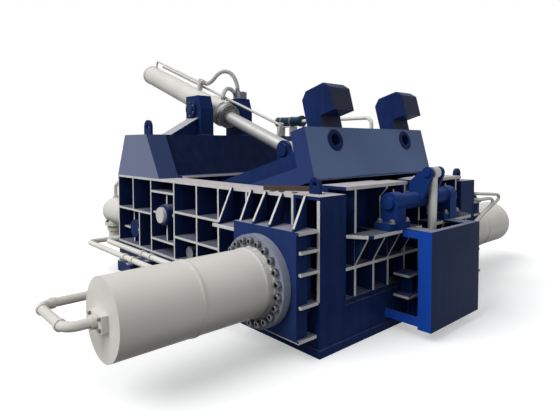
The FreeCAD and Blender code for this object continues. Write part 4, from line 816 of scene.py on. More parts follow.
def smooth_line(stops: list[Vector], step: float) -> list[Vector]:
    """Evenly spaced places on a smooth line through some points.

    Args:
        stops: The points.
        step: The wanted distance between two places.

    Returns:
        The places.
    """
    padded = [stops[0] * 2 - stops[1], *stops, stops[-1] * 2 - stops[-2]]
    fine = []
    for a, b, c, d in zip(padded, padded[1:], padded[2:], padded[3:]):
        for n in range(SPLINE_STEPS):
            t = n / SPLINE_STEPS
            fine.append(0.5 * (2 * b + (c - a) * t + (2 * a - 5 * b + 4 * c - d) * t ** 2
                               + (3 * b - a - 3 * c + d) * t ** 3))
    fine.append(stops[-1])
    length = sum((after - before).length for before, after in zip(fine, fine[1:]))
    count = max(2, round(length / step))
    places = [fine[0]]
    gone = 0.0
    for before, after in zip(fine, fine[1:]):
        run = (after - before).length
        while len(places) < count and gone + run >= len(places) * length / count:
            places.append(before.lerp(after, (len(places) * length / count - gone) / run))
        gone += run
    return [*places, fine[-1]]


class Shape:
    """A mesh in the making, in metres and in the part's own frame."""

    merge_distance = 1e-6
    bead_sides = HEXAGON
    bead_step = 1.4
    ring_step = 1.6
    fewest_steps = 24
    nearly_whole = 0.99
    tube_sides = 12
    ripple = 0.22
    ripple_turn = 3.1
    lump = 0.25
    ring_lump = 0.2
    lump_scale = 30

    def __init__(self) -> None:
        """Start with nothing."""
        self.bm = bmesh.new()

    def lathe(self, profile: list[Range] | tuple[Range, ...], place: Vector, way: Vector,
              steps: int) -> None:
        """Turned form: a profile of radius and height spun about its axis.

        Args:
            profile: Radius and height of each corner, from one end of the axis to the other.
            place: The axis's origin.
            way: The axis's direction.
            steps: How many sides it has.
        """
        verts = [self.bm.verts.new((radius, 0.0, height)) for radius, height in profile]
        edges = [self.bm.edges.new(pair) for pair in zip(verts, verts[1:])]
        bmesh.ops.spin(self.bm, geom=verts + edges, cent=(0, 0, 0), axis=(0, 0, 1), angle=FULL_TURN,
                       steps=steps, use_merge=True, use_duplicate=False)
        fresh = self.loose_from(verts[0])
        bmesh.ops.transform(self.bm, matrix=turned(place, way), verts=fresh)
        bmesh.ops.remove_doubles(self.bm, verts=fresh, dist=self.merge_distance)

    def loose_from(self, start: bmesh.types.BMVert) -> list[bmesh.types.BMVert]:
        """All vertices that hang together with one.

        Args:
            start: The vertex to start from.

        Returns:
            The vertices.
        """
        found = {start}
        waiting = [start]
        while waiting:
            vert = waiting.pop()
            for edge in vert.link_edges:
                other = edge.other_vert(vert)
                if other not in found:
                    found.add(other)
                    waiting.append(other)
        return list(found)

    def copies(self, mesh: bpy.types.Mesh, matrices: list[Matrix]) -> None:
        """Add a finished mesh several times.

        Args:
            mesh: The mesh of one copy.
            matrices: Where each copy stands.
        """
        for matrix in matrices:
            old = set(self.bm.verts)
            self.bm.from_mesh(mesh)
            bmesh.ops.transform(self.bm, matrix=matrix, verts=self.newer_than(old))

    def newer_than(self, old: set[bmesh.types.BMVert]) -> list[bmesh.types.BMVert]:
        """The vertices that aren't among the old ones."""
        return [vert for vert in self.bm.verts if vert not in old]

    def bead(self, start: Vector, end: Vector, radius: float) -> None:
        """Straight weld bead with a rippled back.

        Args:
            start: One end.
            end: The other end.
            radius: Half its width.
        """
        way = end - start
        made = bmesh.ops.create_cone(self.bm, cap_ends=True, segments=self.bead_sides, radius1=radius,
                                     radius2=radius, depth=way.length,
                                     matrix=turned((start + end) / 2, way))
        long_edges = {edge for vert in made["verts"] for edge in vert.link_edges
                      if edge.calc_length() > way.length * self.nearly_whole}
        cuts = max(2, int(way.length / (radius * self.bead_step)))
        fresh = bmesh.ops.subdivide_edges(self.bm, edges=list(long_edges), cuts=cuts, use_grid_fill=True)
        direction = way.normalized()
        for item in fresh["geom_inner"]:
            if isinstance(item, bmesh.types.BMVert):
                along = (item.co - start).dot(direction)
                axis = start + direction * along
                wave = self.wave(along / radius * self.ripple_turn, item.co, self.lump)
                item.co = axis + (item.co - axis) * wave

    def wave(self, turn: float, place: Vector, lump: float) -> float:
        """How far a bead stands out at a place, about 1.

        Args:
            turn: How far the ripple has come, in radians.
            place: The place.
            lump: How uneven the bead is.

        Returns:
            The share of the bead's radius.
        """
        return 1.0 + self.ripple * math.sin(turn) + lump * noise.noise(place * self.lump_scale)

    def ring_bead(self, centre: Vector, way: Vector, ring: float, radius: float) -> None:
        """Round weld bead about an axis.

        Args:
            centre: The ring's middle.
            way: Its axis.
            ring: The ring's radius.
            radius: Half the bead's width.
        """
        angles = [FULL_TURN * n / self.bead_sides for n in range(self.bead_sides)]
        section = [self.bm.verts.new((ring + radius * math.cos(angle), 0.0, radius * math.sin(angle)))
                   for angle in angles]
        edges = [self.bm.edges.new(pair) for pair in zip([section[-1], *section], section)]
        steps = max(self.fewest_steps, int(FULL_TURN * ring / (radius * self.ring_step)))
        bmesh.ops.spin(self.bm, geom=section + edges, cent=(0, 0, 0), axis=(0, 0, 1), angle=FULL_TURN,
                       steps=steps, use_merge=True, use_duplicate=False)
        fresh = self.loose_from(section[0])
        for vert in fresh:
            flat = Vector((vert.co.x, vert.co.y, 0.0))
            middle = flat.normalized() * ring
            turn = math.atan2(flat.y, flat.x) * steps / 2
            vert.co = middle + (vert.co - middle) * self.wave(turn, vert.co, self.ring_lump)
        bmesh.ops.transform(self.bm, matrix=turned(centre, way), verts=fresh)

    def sweep(self, stops: list[Vector], radius: float, step: float, swell: float = 0.0) -> None:
        """Round tube along a smooth line through some points, with rings of a wound cover.

        Args:
            stops: Points that the middle goes through.
            radius: The tube's radius.
            step: Distance between two of its rings.
            swell: How far every other ring stands out, as a share of the radius.
        """
        line = smooth_line(stops, step)
        loops = []
        side = (line[1] - line[0]).orthogonal().normalized()
        for n, place in enumerate(line):
            way = (line[min(n + 1, len(line) - 1)] - line[max(n - 1, 0)]).normalized()
            side = (side - way * side.dot(way)).normalized()
            turn = Matrix((side, way.cross(side), way)).transposed().to_4x4()
            made = bmesh.ops.create_circle(self.bm, cap_ends=n in (0, len(line) - 1),
                                           segments=self.tube_sides, radius=radius * (1.0 + swell * (n % 2)),
                                           matrix=Matrix.Translation(place) @ turn)
            loops.append(made["verts"])
        for first, second in zip(loops, loops[1:]):
            chosen = set(first) | set(second)
            ring = {edge for vert in chosen for edge in vert.link_edges if edge.other_vert(vert) in chosen
                    and (edge.verts[0] in first) == (edge.verts[1] in first)}
            bmesh.ops.bridge_loops(self.bm, edges=list(ring))

    def bar(self, lo: Triple, hi: Triple, soft: float = 0.002) -> None:
        """Bar between two corners, with bevelled edges.

        Args:
            lo: Lowest corner.
            hi: Highest corner.
            soft: Width of the bevels.
        """
        size = Vector(hi) - Vector(lo)
        middle = (Vector(hi) + Vector(lo)) / 2
        matrix = Matrix.Translation(middle) @ Matrix.Diagonal((*size, 1.0))
        made = bmesh.ops.create_cube(self.bm, size=1.0, matrix=matrix)
        edges = list({edge for vert in made["verts"] for edge in vert.link_edges})
        bmesh.ops.bevel(self.bm, geom=edges, offset=soft, offset_type="OFFSET", segments=2, profile=0.5,
                        affect="EDGES", material=-1, clamp_overlap=True)

    def mesh(self, name: str) -> bpy.types.Mesh:
        """Close the work and give the mesh.

        Args:
            name: The mesh's name.

        Returns:
            The mesh, with outward normals.
        """
        bmesh.ops.recalc_face_normals(self.bm, faces=self.bm.faces)
        made = bpy.data.meshes.new(name)
        self.bm.to_mesh(made)
        self.bm.free()
        return made


def disc(inner: float, outer: float, low: float, high: float, shoulder: float | None = None,
         crown: float = 0.0) -> list[Range]:
    """Profile of a disc or a ring, with a chamfered upper rim where a shoulder is given.

    Args:
        inner: Radius of its bore, 0 for a disc.
        outer: Its radius.
        low: Where it starts along the axis.
        high: Where it ends.
        shoulder: Where the chamfer starts.
        crown: Radius where the chamfer ends.

    Returns:
        Radius and height of each corner.
    """
    rim = [(outer, high)] if shoulder is None else [(outer, shoulder), (crown, high)]
    closing = [(inner, low)] if inner else []
    return [(inner, low), (outer, low), *rim, (inner, high), *closing]


def linked(name: str, data: bpy.types.ID) -> bpy.types.Object:
    """A new object of some data, in the scene."""
    made = bpy.data.objects.new(name, data)
    bpy.context.scene.collection.objects.link(made)
    return made


def finished(name: str, shape: Shape, finish: Finish) -> bpy.types.Object:
    """Make an object of a shape and give it its finish.

    Args:
        name: The piece's name.
        shape: The shape.
        finish: Its finish.

    Returns:
        The object, shaded smooth.
    """
    mesh = shape.mesh(name)
    mesh.shade_smooth()
    made = linked(name, mesh)
    mesh.materials.append(finish.material())
    LOG.info("%s: %d faces", name, len(mesh.polygons))
    return made


def piece(name: str, shape: Shape, body: str, finish: Finish) -> bpy.types.Object:
    """Make an object of a shape that rides on one body.

    Args:
        name: The piece's name.
        shape: The shape.
        body: The CAD body it rides on.
        finish: Its finish.

    Returns:
        The object.
    """
    made = finished(name, shape, finish)
    made.data.set_sharp_from_angle(angle=SHARP_FROM)
    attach(made, body)
    return made


@dataclass(frozen=True)
class CapScrew:
    """Cap screw with a chamfered head and a hexagon socket, on the origin with +Z up."""

    radius: float
    height: float
    shank: float
    reach: float
    chamfer: float = 0.12
    mouth: float = 0.62
    socket: float = 0.56
    socket_depth: float = 0.55

    def mesh(self) -> bpy.types.Mesh:
        """Turn the head and shank, and sink the socket into the head.

        Returns:
            The mesh.
        """
        chamfer = self.radius * self.chamfer
        shape = Shape()
        shape.lathe([(0.0, -self.reach), (self.shank, -self.reach), (self.shank, 0.0), (self.radius, 0.0),
                     (self.radius, self.height - chamfer), (self.radius - chamfer, self.height),
                     (self.radius * self.mouth, self.height)], Vector(), Vector(UP), ROUND)
        rim = [edge for edge in shape.bm.edges if edge.is_boundary]
        made = bmesh.ops.create_circle(shape.bm, cap_ends=False, segments=HEXAGON,
                                       radius=self.radius * self.socket,
                                       matrix=Matrix.Translation((0, 0, self.height)))
        mouth = list({edge for vert in made["verts"] for edge in vert.link_edges})
        bmesh.ops.bridge_loops(shape.bm, edges=rim + mouth)
        sunk = bmesh.ops.extrude_edge_only(shape.bm, edges=mouth)
        floor = [item for item in sunk["geom"] if isinstance(item, bmesh.types.BMVert)]
        bmesh.ops.translate(shape.bm, verts=floor, vec=(0, 0, -self.height * self.socket_depth))
        bmesh.ops.contextual_create(shape.bm, geom=floor)
        return shape.mesh("socket_screw")


@dataclass(frozen=True)
class HexBolt:
    """Hexagon head on a washer, with the bolt's end above it, on the origin with +Z up."""

    across: float
    height: float
    washer: float
    washer_share: float = 1.25
    shoulder: float = 0.82
    crown: float = 0.86
    end: float = 0.5
    end_shoulder: float = 0.3
    end_rise: float = 0.38
    end_crown: float = 0.42
    sunk: float = 0.001

    def mesh(self) -> bpy.types.Mesh:
        """Turn the washer, the six-sided head and the bolt's end.

        Returns:
            The mesh.
        """
        half = self.across / 2
        low = self.washer
        top = low + self.height
        shape = Shape()
        for profile, sides in (
                (disc(0.0, half * self.washer_share, 0.0, low), 20),
                (disc(0.0, half, low, top, low + self.height * self.shoulder, half * self.crown), HEXAGON),
                (disc(0.0, half * self.end, top - self.sunk, top + self.height * self.end_rise,
                      top + self.height * self.end_shoulder, half * self.end_crown), 14)):
            shape.lathe(profile, Vector(), Vector(UP), sides)
        return shape.mesh("hex_bolt")


def pitch_circle(centre: Vector, way: Vector, radius: float, count: int) -> list[Matrix]:
    """Places of screws on a pitch circle, the first one half a step round.

    Args:
        centre: The circle's middle, on the face.
        way: Which way the face looks.
        radius: The circle's radius.
        count: How many there are.

    Returns:
        One matrix for each screw.
    """
    face = turned(centre, way)
    angles = [FULL_TURN * (n + 0.5) / count for n in range(count)]
    return [face @ Matrix.Translation((radius * math.cos(angle), radius * math.sin(angle), 0.0))
            for angle in angles]


@dataclass
class Extent:
    """Where a CAD node lies."""

    node: str

    def __post_init__(self) -> None:
        """Read the node's corners."""
        self.lo, self.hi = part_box(self.node)
        self.mid = (self.lo + self.hi) / 2


def dress(finish: Finish, *nodes: str) -> None:
    """Give CAD nodes their finish.

    Args:
        finish: The finish.
        *nodes: The nodes.
    """
    for node in nodes:
        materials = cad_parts[node].data.materials
        if not materials:
            materials.append(None)
        for n in range(len(materials)):
            materials[n] = finish.material()
        LOG.info("%s: %s", node, finish.name)


def with_faces(finish: Enamel, name: str, pale: tuple[Face, ...] = (), bare: tuple[Face, ...] = (),
               **changes: object) -> Enamel:
    """The same paint with pale plate edges and bare tops of its own.

    Args:
        finish: The paint.
        name: What it is for.
        pale: Faces left pale.
        bare: Faces rubbed bare.
        **changes: Other fields that differ.

    Returns:
        The changed paint.
    """
    return replace(finish, name=f"{finish.name}_{name}", pale_edges=pale, bare_tops=bare, **changes)


# ================================================================ sub-assemblies
@dataclass(frozen=True)
class Opened:
    """Turns a place on the shut lid to where it is at rest, with the lid part open."""

    hinge: tuple[float, float] = (-0.56, 0.815)
    angle_deg: float = 15.5

    def point(self, x: float, y: float, z: float) -> Vector:
        """A point of the shut lid, on the lid at rest.

        Args:
            x: Place along X with the lid shut.
            y: Place along Y.
            z: Height with the lid shut.

        Returns:
            The point.
        """
        way = self.way(x - self.hinge[0], z - self.hinge[1])
        return Vector((self.hinge[0] + way.x, y, self.hinge[1] + way.z))

    def way(self, x: float, z: float) -> Vector:
        """A direction of the shut lid, on the lid at rest.

        Args:
            x: Its X with the lid shut.
            z: Its Z with the lid shut.

        Returns:
            The direction.
        """
        turn = math.radians(self.angle_deg)
        return Vector((x * math.cos(turn) - z * math.sin(turn), 0.0, x * math.sin(turn) + z * math.cos(turn)))


LID_PLACE = Opened()


@dataclass
class PressFrame:
    """Base, side walls, front wall and the plates round the press chamber.

    Each of shelf_corners gives the way a cut corner looks in X and Y, how far it starts behind the
    shelf's edge, and its Y. A flake's place and size are drawn between a start and a span past it.
    """

    sill: float = 0.335
    rib_edge: float = 1.23
    cell_edge: float = 1.205
    cover_edge: float = 1.16
    boss_face: float = 1.11
    boss_x: Range = (-0.33, -0.17)
    boss_z: Range = (0.34, 0.5)
    boss_tint: FaceColour = ((0.35, 0.34, 0.33), 0.8)
    front_edge: float = 1.782
    front_inner: float = 0.93
    front_back: float = 1.712
    front_ends: Range = (1.75, 1.79)
    front_foot: float = 0.378
    band: Range = (0.9, 1.22)
    flange_top: float = 1.206
    pocket: Range = (0.416, 1.178)
    shelf_corners: tuple[tuple[float, float, float, float], ...] = (
        (0.022, 0.04, 0.0, 0.8), (0.09, 0.148, 0.022, 0.84))
    gusset_slope: Triple = (0.21, 0.0, -0.118)
    gusset_z: float = 0.63
    gusset_out: float = 0.118
    bead: float = 0.006
    rib_welds: tuple[float, ...] = (0.928, 0.128, 0.382)
    rib_weld_x: Range = (1.6, 1.76)
    skid_weld: tuple[float, float] = (1.231, 0.289)
    skid_weld_x: Range = (-1.78, 0.98)
    flakes: int = 9
    flake_x: tuple[float, float] = (1.12, 0.37)
    flake_y: tuple[float, float] = (-1.19, 0.2)
    flake_size: tuple[float, float] = (0.014, 0.03)
    flake_slim: float = 0.45
    flake_thick: float = 0.004
    flake_soft: float = 0.001
    flake_lift: float = 0.0002
    flake_seed: int = 5

    def walls(self) -> None:
        """Paint the side walls, with pale rib edges and bare flange tops."""
        top = Face(UP, Extent("near_side_wall").hi.z)
        for node, side in (("near_side_wall", -1.0), ("far_side_wall", 1.0)):
            way = (0.0, side, 0.0)
            edges = (through(way, (0.0, side * self.rib_edge, 0.0), (UP, self.sill, EVERYWHERE)),
                     through(way, (0.0, side * self.cell_edge, 0.0)),
                     through(way, (0.0, side * self.cover_edge, 0.0)))
            boss = through(way, (0.0, side * self.boss_face, 0.0), (FRONT, *self.boss_x), (UP, *self.boss_z))
            dress(with_faces(NAVY, node, edges, (top,), dust=0.8, tinted=((boss, *self.boss_tint),),
                             bare_colour=(0.58, 0.53, 0.54)), node)

    def front_paint(self) -> Enamel:
        """Paint of the front wall, with pale edges on its ribs, chamfer and corner columns.

        Returns:
            The paint.
        """
        edge = (self.front_edge, 0.0, 0.0)
        edges = (through(FRONT, edge, (UP, self.front_foot, EVERYWHERE),
                         (FAR, -self.front_inner, self.front_inner)),
                 through((0.5, 0.0, -0.5), (self.front_edge, 0.0, self.band[1])),
                 through(FRONT, (self.front_back, 0.0, 0.0), (UP, *self.band)),
                 *(through((0.0, side, 0.0), (0.0, side * self.rib_edge, 0.0), (FRONT, *self.front_ends),
                           (UP, *self.pocket)) for side in (-1.0, 1.0)))
        tops = (Face(UP, Extent("front_wall").hi.z), Face(UP, self.flange_top))
        return with_faces(NAVY, "front_wall", edges, tops, dust=0.7, bare_colour=(0.55, 0.51, 0.52))

    def shelf_paint(self) -> Enamel:
        """Paint of the bearing shelf, with pale edges on its plates and gussets.

        Returns:
            The paint.
        """
        out = Extent("bearing_shelf").hi
        corners_cut = [through((dx, side * dy, 0.0), (out.x - back, side * y, 0.0))
                       for dx, dy, back, y in self.shelf_corners for side in (1.0, -1.0)]
        edges = (through(FRONT, out), *corners_cut,
                 through(self.gusset_slope, (self.front_edge, 0.0, self.gusset_z)),
                 through(FRONT, (self.front_edge + self.gusset_out, 0.0, 0.0)))
        return with_faces(NAVY, "bearing_shelf", edges, (Face(UP, out.z),), dust=0.7,
                          bare_colour=(0.13, 0.135, 0.16))

    def dress(self) -> None:
        """Paint the frame's plates."""
        self.walls()
        dress(self.front_paint(), "front_wall")
        dress(self.shelf_paint(), "bearing_shelf")
        dress(with_faces(NAVY, "base", dust=0.3), "base_frame")
        dress(NAVY, "rear_bulkhead", "ram_hood", "bulkhead_pin_covers", "lifting_eyes")
        dress(WEAR, "chamber_floor", "chamber_wear_plates", "main_ram", "near_press_ram", "far_press_ram")
        dress(CAP_WHITE, "hinge_caps")
        dress(RUST, "lock_handle")

    def build(self) -> None:
        """Weld seams in the corners of the plates, and flakes of scrap left on the near flange."""
        welds = Shape()
        out, low = self.skid_weld
        for side in (-1, 1):
            for y in self.rib_welds:
                welds.bead(*(Vector((x, side * y, self.front_foot)) for x in self.rib_weld_x), self.bead)
            welds.bead(*(Vector((x, side * out, low)) for x in self.skid_weld_x), self.bead)
        piece("frame_weld_seams", welds, "frame", BLUE_SEAM)
        flakes = Shape()
        noise.seed_set(self.flake_seed)
        for _ in range(self.flakes):
            x, y, size = (start + span * noise.random()
                          for start, span in (self.flake_x, self.flake_y, self.flake_size))
            old = set(flakes.bm.verts)
            half = size * self.flake_slim
            flakes.bar((-size, -half, 0.0), (size, half, self.flake_thick), self.flake_soft)
            turn = Matrix.Rotation(noise.random() * FULL_TURN, 4, "Z")
            place = Matrix.Translation((x, y, self.flange_top + self.flake_lift))
            bmesh.ops.transform(flakes.bm, matrix=place @ turn, verts=flakes.newer_than(old))
        piece("scrap_flakes", flakes, "frame", RUST)


@dataclass
class PressCylinders:
    """The two opposed cylinders with their mounts, flanges, screws and pipes."""

    screw: CapScrew = CapScrew(0.027, 0.036, 0.018, 0.13)
    screw_count: int = 22
    screw_circle: float = 0.318
    port_screw: CapScrew = CapScrew(0.011, 0.014, 0.005, 0.004)
    port_spread: tuple[float, float] = (0.078, 0.034)
    stand_off: float = 0.206
    lip: float = 0.022
    wall_y: float = 1.23
    wall_top: float = 1.206
    top: float = 0.966
    wing: Range = (0.87, 0.905)
    foot: Range = (0.0, 0.162)
    end: float = 1.77
    rear: float = 0.999
    bead: float = 0.007
    bead_sunk: float = 0.004
    # Painted light on the mounts' outer faces.
    face_painted_light: FaceColour = ((0.025, 0.05, 0.17), 0.5)

    def mount_paint(self, side: int) -> Enamel:
        """Paint of one mount, with pale edges on its shelves and gussets, and painted light on its outer
        face.

        Args:
            side: -1 for the near one, 1 for the far one.

        Returns:
            The paint.
        """
        out = self.wall_y + self.stand_off
        way = (0.0, float(side), 0.0)
        outer = (0.0, side * out, 0.0)
        slopes = [through((0.0, side * (self.wall_top - top - self.lip), self.stand_off - self.lip),
                          (0.0, side * out, top + self.lip)) for top in (self.top, self.wing[1])]
        edges = (*slopes, through(way, outer, (UP, *self.foot)),
                 through(way, outer, (FRONT, 0.0, self.rear), (UP, *self.wing)),
                 through(FRONT, (self.end, 0.0, 0.0)), through(way, (0.0, side * (out - self.lip), 0.0)))
        bare = (Face(UP, self.top), Face(UP, self.wing[1]))
        return with_faces(NAVY, "near_mount" if side < 0 else "far_mount", edges, bare, dust=0.8,
                          tinted=((through(way, outer), *self.face_painted_light),),
                          bare_colour=(0.3, 0.3, 0.36))

    def dress(self) -> None:
        """Paint mounts, flanges, barrels and pipes."""
        for side, word in ((-1, "near"), (1, "far")):
            dress(self.mount_paint(side), f"{word}_cylinder_mount")
            dress(PRIMER, f"{word}_cylinder_flange")
            dress(GREY, f"{word}_press_cylinder", f"{word}_cylinder_pipe")
        dress(SCREW, "press_flange_screws")

    def build(self) -> None:
        """Cap screws with sockets, the port blocks' screws and the weld seams."""
        screw = self.screw.mesh()
        small = self.port_screw.mesh()
        heads, port_screws, welds = Shape(), Shape(), Shape()
        for side, word in ((-1, "near"), (1, "far")):
            way = Vector((0, side, 0))
            flange = Extent(f"{word}_cylinder_flange")
            barrel = Extent(f"{word}_press_cylinder")
            face, end = (flange.lo.y, barrel.lo.y) if side < 0 else (flange.hi.y, barrel.hi.y)
            centre = Vector((flange.mid.x, face, flange.mid.z))
            for n in range(self.screw_count):
                angle = FULL_TURN * (n + 0.5) / self.screw_count
                place = centre + Vector((math.cos(angle), 0, math.sin(angle))) * self.screw_circle
                heads.copies(screw, [turned(place, way)])
            welds.ring_bead(centre, way, (barrel.hi.x - barrel.lo.x) / 2 - self.bead_sunk, self.bead)
            across, tall = self.port_spread
            for dx in (-across, across):
                for dz in (-tall, tall):
                    port_screws.copies(small, [turned(Vector((centre.x + dx, end, centre.z + dz)), way)])
        made = piece("press_flange_cap_screws", heads, "frame", SCREW)
        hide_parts("press_flange_screws")
        piece("port_block_screws", port_screws, "frame", SCREW)
        piece("press_cylinder_welds", welds, "frame", GREY)


@dataclass
class MainCylinders:
    """The two cylinders behind the press, their rods and the pipe that joins them."""

    bolt: HexBolt = HexBolt(0.046, 0.022, 0.004)
    flange_bolts: int = 12
    flange_circle: float = 0.905
    stand_bolts: int = 8
    stand_circle: float = 0.162
    stand_back: float = 0.08
    stand_z: float = 0.34

    def dress(self) -> None:
        """Paint the barrels and plate the rods."""
        dress(GREY, "near_main_cylinder", "far_main_cylinder", "rear_pipe")
        dress(CHROME, "main_rods")
        dress(NAVY, "main_cylinder_flanges")

    def build(self) -> None:
        """Bolts round the flanges behind the rear bulkhead and round the stands."""
        flanges = Extent("main_cylinder_flanges")
        bolt = self.bolt.mesh()
        bolts = Shape()
        radius = (flanges.hi.z - flanges.lo.z) / 2
        for side, node in ((-1, "near_main_cylinder"), (1, "far_main_cylinder")):
            centre = Vector((flanges.lo.x, side * (flanges.hi.y - radius), flanges.mid.z))
            bolts.copies(bolt, pitch_circle(centre, Vector(BACK), radius * self.flange_circle,
                                            self.flange_bolts))
            stand = Vector((Extent(node).lo.x + self.stand_back, centre.y, self.stand_z))
            seen = pitch_circle(stand, Vector(UP), self.stand_circle, self.stand_bolts)[2:-2]
            bolts.copies(bolt, seen)
        piece("main_cylinder_bolts", bolts, "frame", SCREW)


@dataclass
class Lid:
    """The lid with its front beam, ring bosses, hooks and clevis."""

    front: float = 1.49
    half: float = 0.918
    bottom: float = 0.739
    lip_ends: Range = (-0.31, 0.33)
    lip_rises: Triple = (0.012, 0.017, 0.012)
    lip_gap: float = 0.004
    hook_y: float = 0.555
    hook_half: float = 0.135
    hook_run: Range = (0.175, 0.004)
    beam_top: float = 1.215
    hook_top: float = 1.588
    boss_z: float = 1.095
    boss_ring: float = 0.096
    bead: float = 0.008
    hook_bead: float = 0.007
    ring_bead: float = 0.005
    sunk: float = 0.005
    # Painted light on the front plate and the near side, painted shade on the hooks' fronts, painted light on
    # their tops.
    front_painted_light: FaceColour = ((0.165, 0.24, 0.41), 0.72)
    side_painted_light: FaceColour = ((0.035, 0.06, 0.19), 0.7)
    nose_painted_shade: FaceColour = ((0.045, 0.045, 0.065), 0.8)
    top_painted_light: FaceColour = ((0.26, 0.26, 0.3), 0.8)

    def dress(self) -> None:
        """Paint the lid, with painted light on its front plate and near side, painted shade on the hooks'
        fronts and painted light on their dusty tops.
        """
        ahead = tuple(LID_PLACE.way(1.0, 0.0))
        above = tuple(LID_PLACE.way(0.0, 1.0))
        front = through(ahead, tuple(LID_PLACE.point(self.front, 0.0, 0.0)))
        painted_light_and_shade = ((front, *self.front_painted_light), (Face(NEAR, self.half), *self.side_painted_light))
        dress(with_faces(NAVY, "lid", tinted=painted_light_and_shade, dust=0.4), "lid_body")
        noses = Face(ahead, 0.0, tolerance=EVERYWHERE)
        tops = through(above, tuple(LID_PLACE.point(0.0, 0.0, self.hook_top)))
        painted_light_and_shade = ((noses, *self.nose_painted_shade), (tops, *self.top_painted_light))
        dress(with_faces(NAVY, "hooks", tinted=painted_light_and_shade, dust=0.2), "lid_hooks")
        dress(NAVY, "lid_clevis")
        dress(SCREW, "lid_shaft")

    def build(self) -> None:
        """Rough seam under the front plate, and seams round the hooks and the ring bosses."""
        rough = Shape()
        ends = (-self.half, *self.lip_ends, self.half)
        for y0, y1, rise in zip(ends, ends[1:], self.lip_rises):
            rough.bead(*(LID_PLACE.point(self.front - self.sunk, y, self.bottom + rise)
                         for y in (y0 + self.lip_gap, y1 - self.lip_gap)), self.bead)
        piece("lid_front_seam", rough, "lid", SEAM)
        seams = Shape()
        for side in (-1, 1):
            middle = side * self.hook_y
            for y in (middle - self.hook_half, middle + self.hook_half):
                seams.bead(*(LID_PLACE.point(self.front - back, y, self.beam_top) for back in self.hook_run),
                           self.hook_bead)
            seams.ring_bead(LID_PLACE.point(self.front, middle, self.boss_z), LID_PLACE.way(1.0, 0.0),
                            self.boss_ring, self.ring_bead)
        piece("lid_seams", seams, "lid", BLUE_SEAM)


@dataclass
class Portal:
    """The portal across the frame with the two trunnion posts.

    The covers' sizes are shares of their radius, and cover_rise is where their rim's chamfer starts
    and ends.
    """

    cover_screw: CapScrew = CapScrew(0.013, 0.012, 0.006, 0.004)
    cover_screws: int = 6
    cover_circle: float = 0.78
    cover_middle: Range = (0.5, 0.44)
    cover_rise: Range = (0.009, 0.013)
    cover_sunk: float = 0.001
    slope: Triple = (0.508, 0.0, 0.302)
    end: float = 1.23
    top: float = 1.714
    foot: tuple[float, float] = (-0.685, 1.206)
    lip: float = -0.6
    recess: float = 0.03
    rake: Triple = (0.0, 0.228, 0.405)
    rake_y: float = 0.83
    post_sides: Range = (0.228, 0.427)
    post_front: Range = (0.232, 0.423)
    bead: float = 0.006
    bead_off: float = 0.002
    # Painted light on the pillars' sloped fronts and the near end, painted shade on the recessed beam.
    pillar_painted_light: FaceColour = ((0.055, 0.078, 0.18), 0.7)
    beam_painted_shade: FaceColour = ((0.003, 0.009, 0.035), 0.85)
    end_painted_light: FaceColour = ((0.22, 0.25, 0.37), 0.8)

    def dress(self) -> None:
        """Paint the portal, posts and covers, with painted light on the portal where it faces the light and
        painted shade on its recessed beam.
        """
        slope = tuple(Vector(self.slope).normalized())
        x, z = self.foot
        painted_light_and_shade = ((through(slope, (x, 0.0, z)), *self.pillar_painted_light),
                 (through(slope, (x - self.recess, 0.0, z)), *self.beam_painted_shade),
                 (Face(NEAR, self.end), *self.end_painted_light))
        lip = through(FRONT, (self.lip, 0.0, 0.0))
        dress(with_faces(NAVY, "portal", (lip,), tinted=painted_light_and_shade, dust=0.4), "portal_frame")
        for node, side in (("near_post", -1), ("far_post", 1)):
            rake = through((0.0, side * self.rake[1], self.rake[2]), (0.0, side * self.rake_y, self.top))
            dress(with_faces(NAVY, node, (rake,), dust=0.35, edge_colour=(0.46, 0.46, 0.48)), node)
        dress(NAVY, "trunnion_covers")

    def build(self) -> None:
        """Screws and raised middles of the trunnion covers, and the seams of the posts."""
        covers = Extent("trunnion_covers")
        post = Extent("near_post")
        radius = (covers.hi.z - covers.lo.z) / 2
        (wide, narrow), (shoulder, high) = self.cover_middle, self.cover_rise
        middle = [(0.0, -self.cover_sunk), (0.0, high), (radius * narrow, high),
                  (radius * wide, shoulder), (radius * wide, -self.cover_sunk)]
        screw = self.cover_screw.mesh()
        screws, middles, seams = Shape(), Shape(), Shape()
        z = self.top + self.bead_off
        for side in (-1, 1):
            centre = Vector((covers.mid.x, side * covers.hi.y, covers.mid.z))
            way = Vector((0, side, 0))
            screws.copies(screw, pitch_circle(centre, way, radius * self.cover_circle, self.cover_screws))
            middles.lathe(middle, centre, way, FINE_ROUND)
            for y in self.post_sides:
                seams.bead(*(Vector((x, side * y, z)) for x in (post.lo.x, post.hi.x)), self.bead)
            seams.bead(*(Vector((post.hi.x + self.bead_off, side * y, z)) for y in self.post_front),
                       self.bead)
        piece("trunnion_cover_screws", screws, "frame", SCREW)
        piece("trunnion_cover_centres", middles, "frame", BLUE_SEAM)
        piece("post_seams", seams, "frame", BLUE_SEAM)


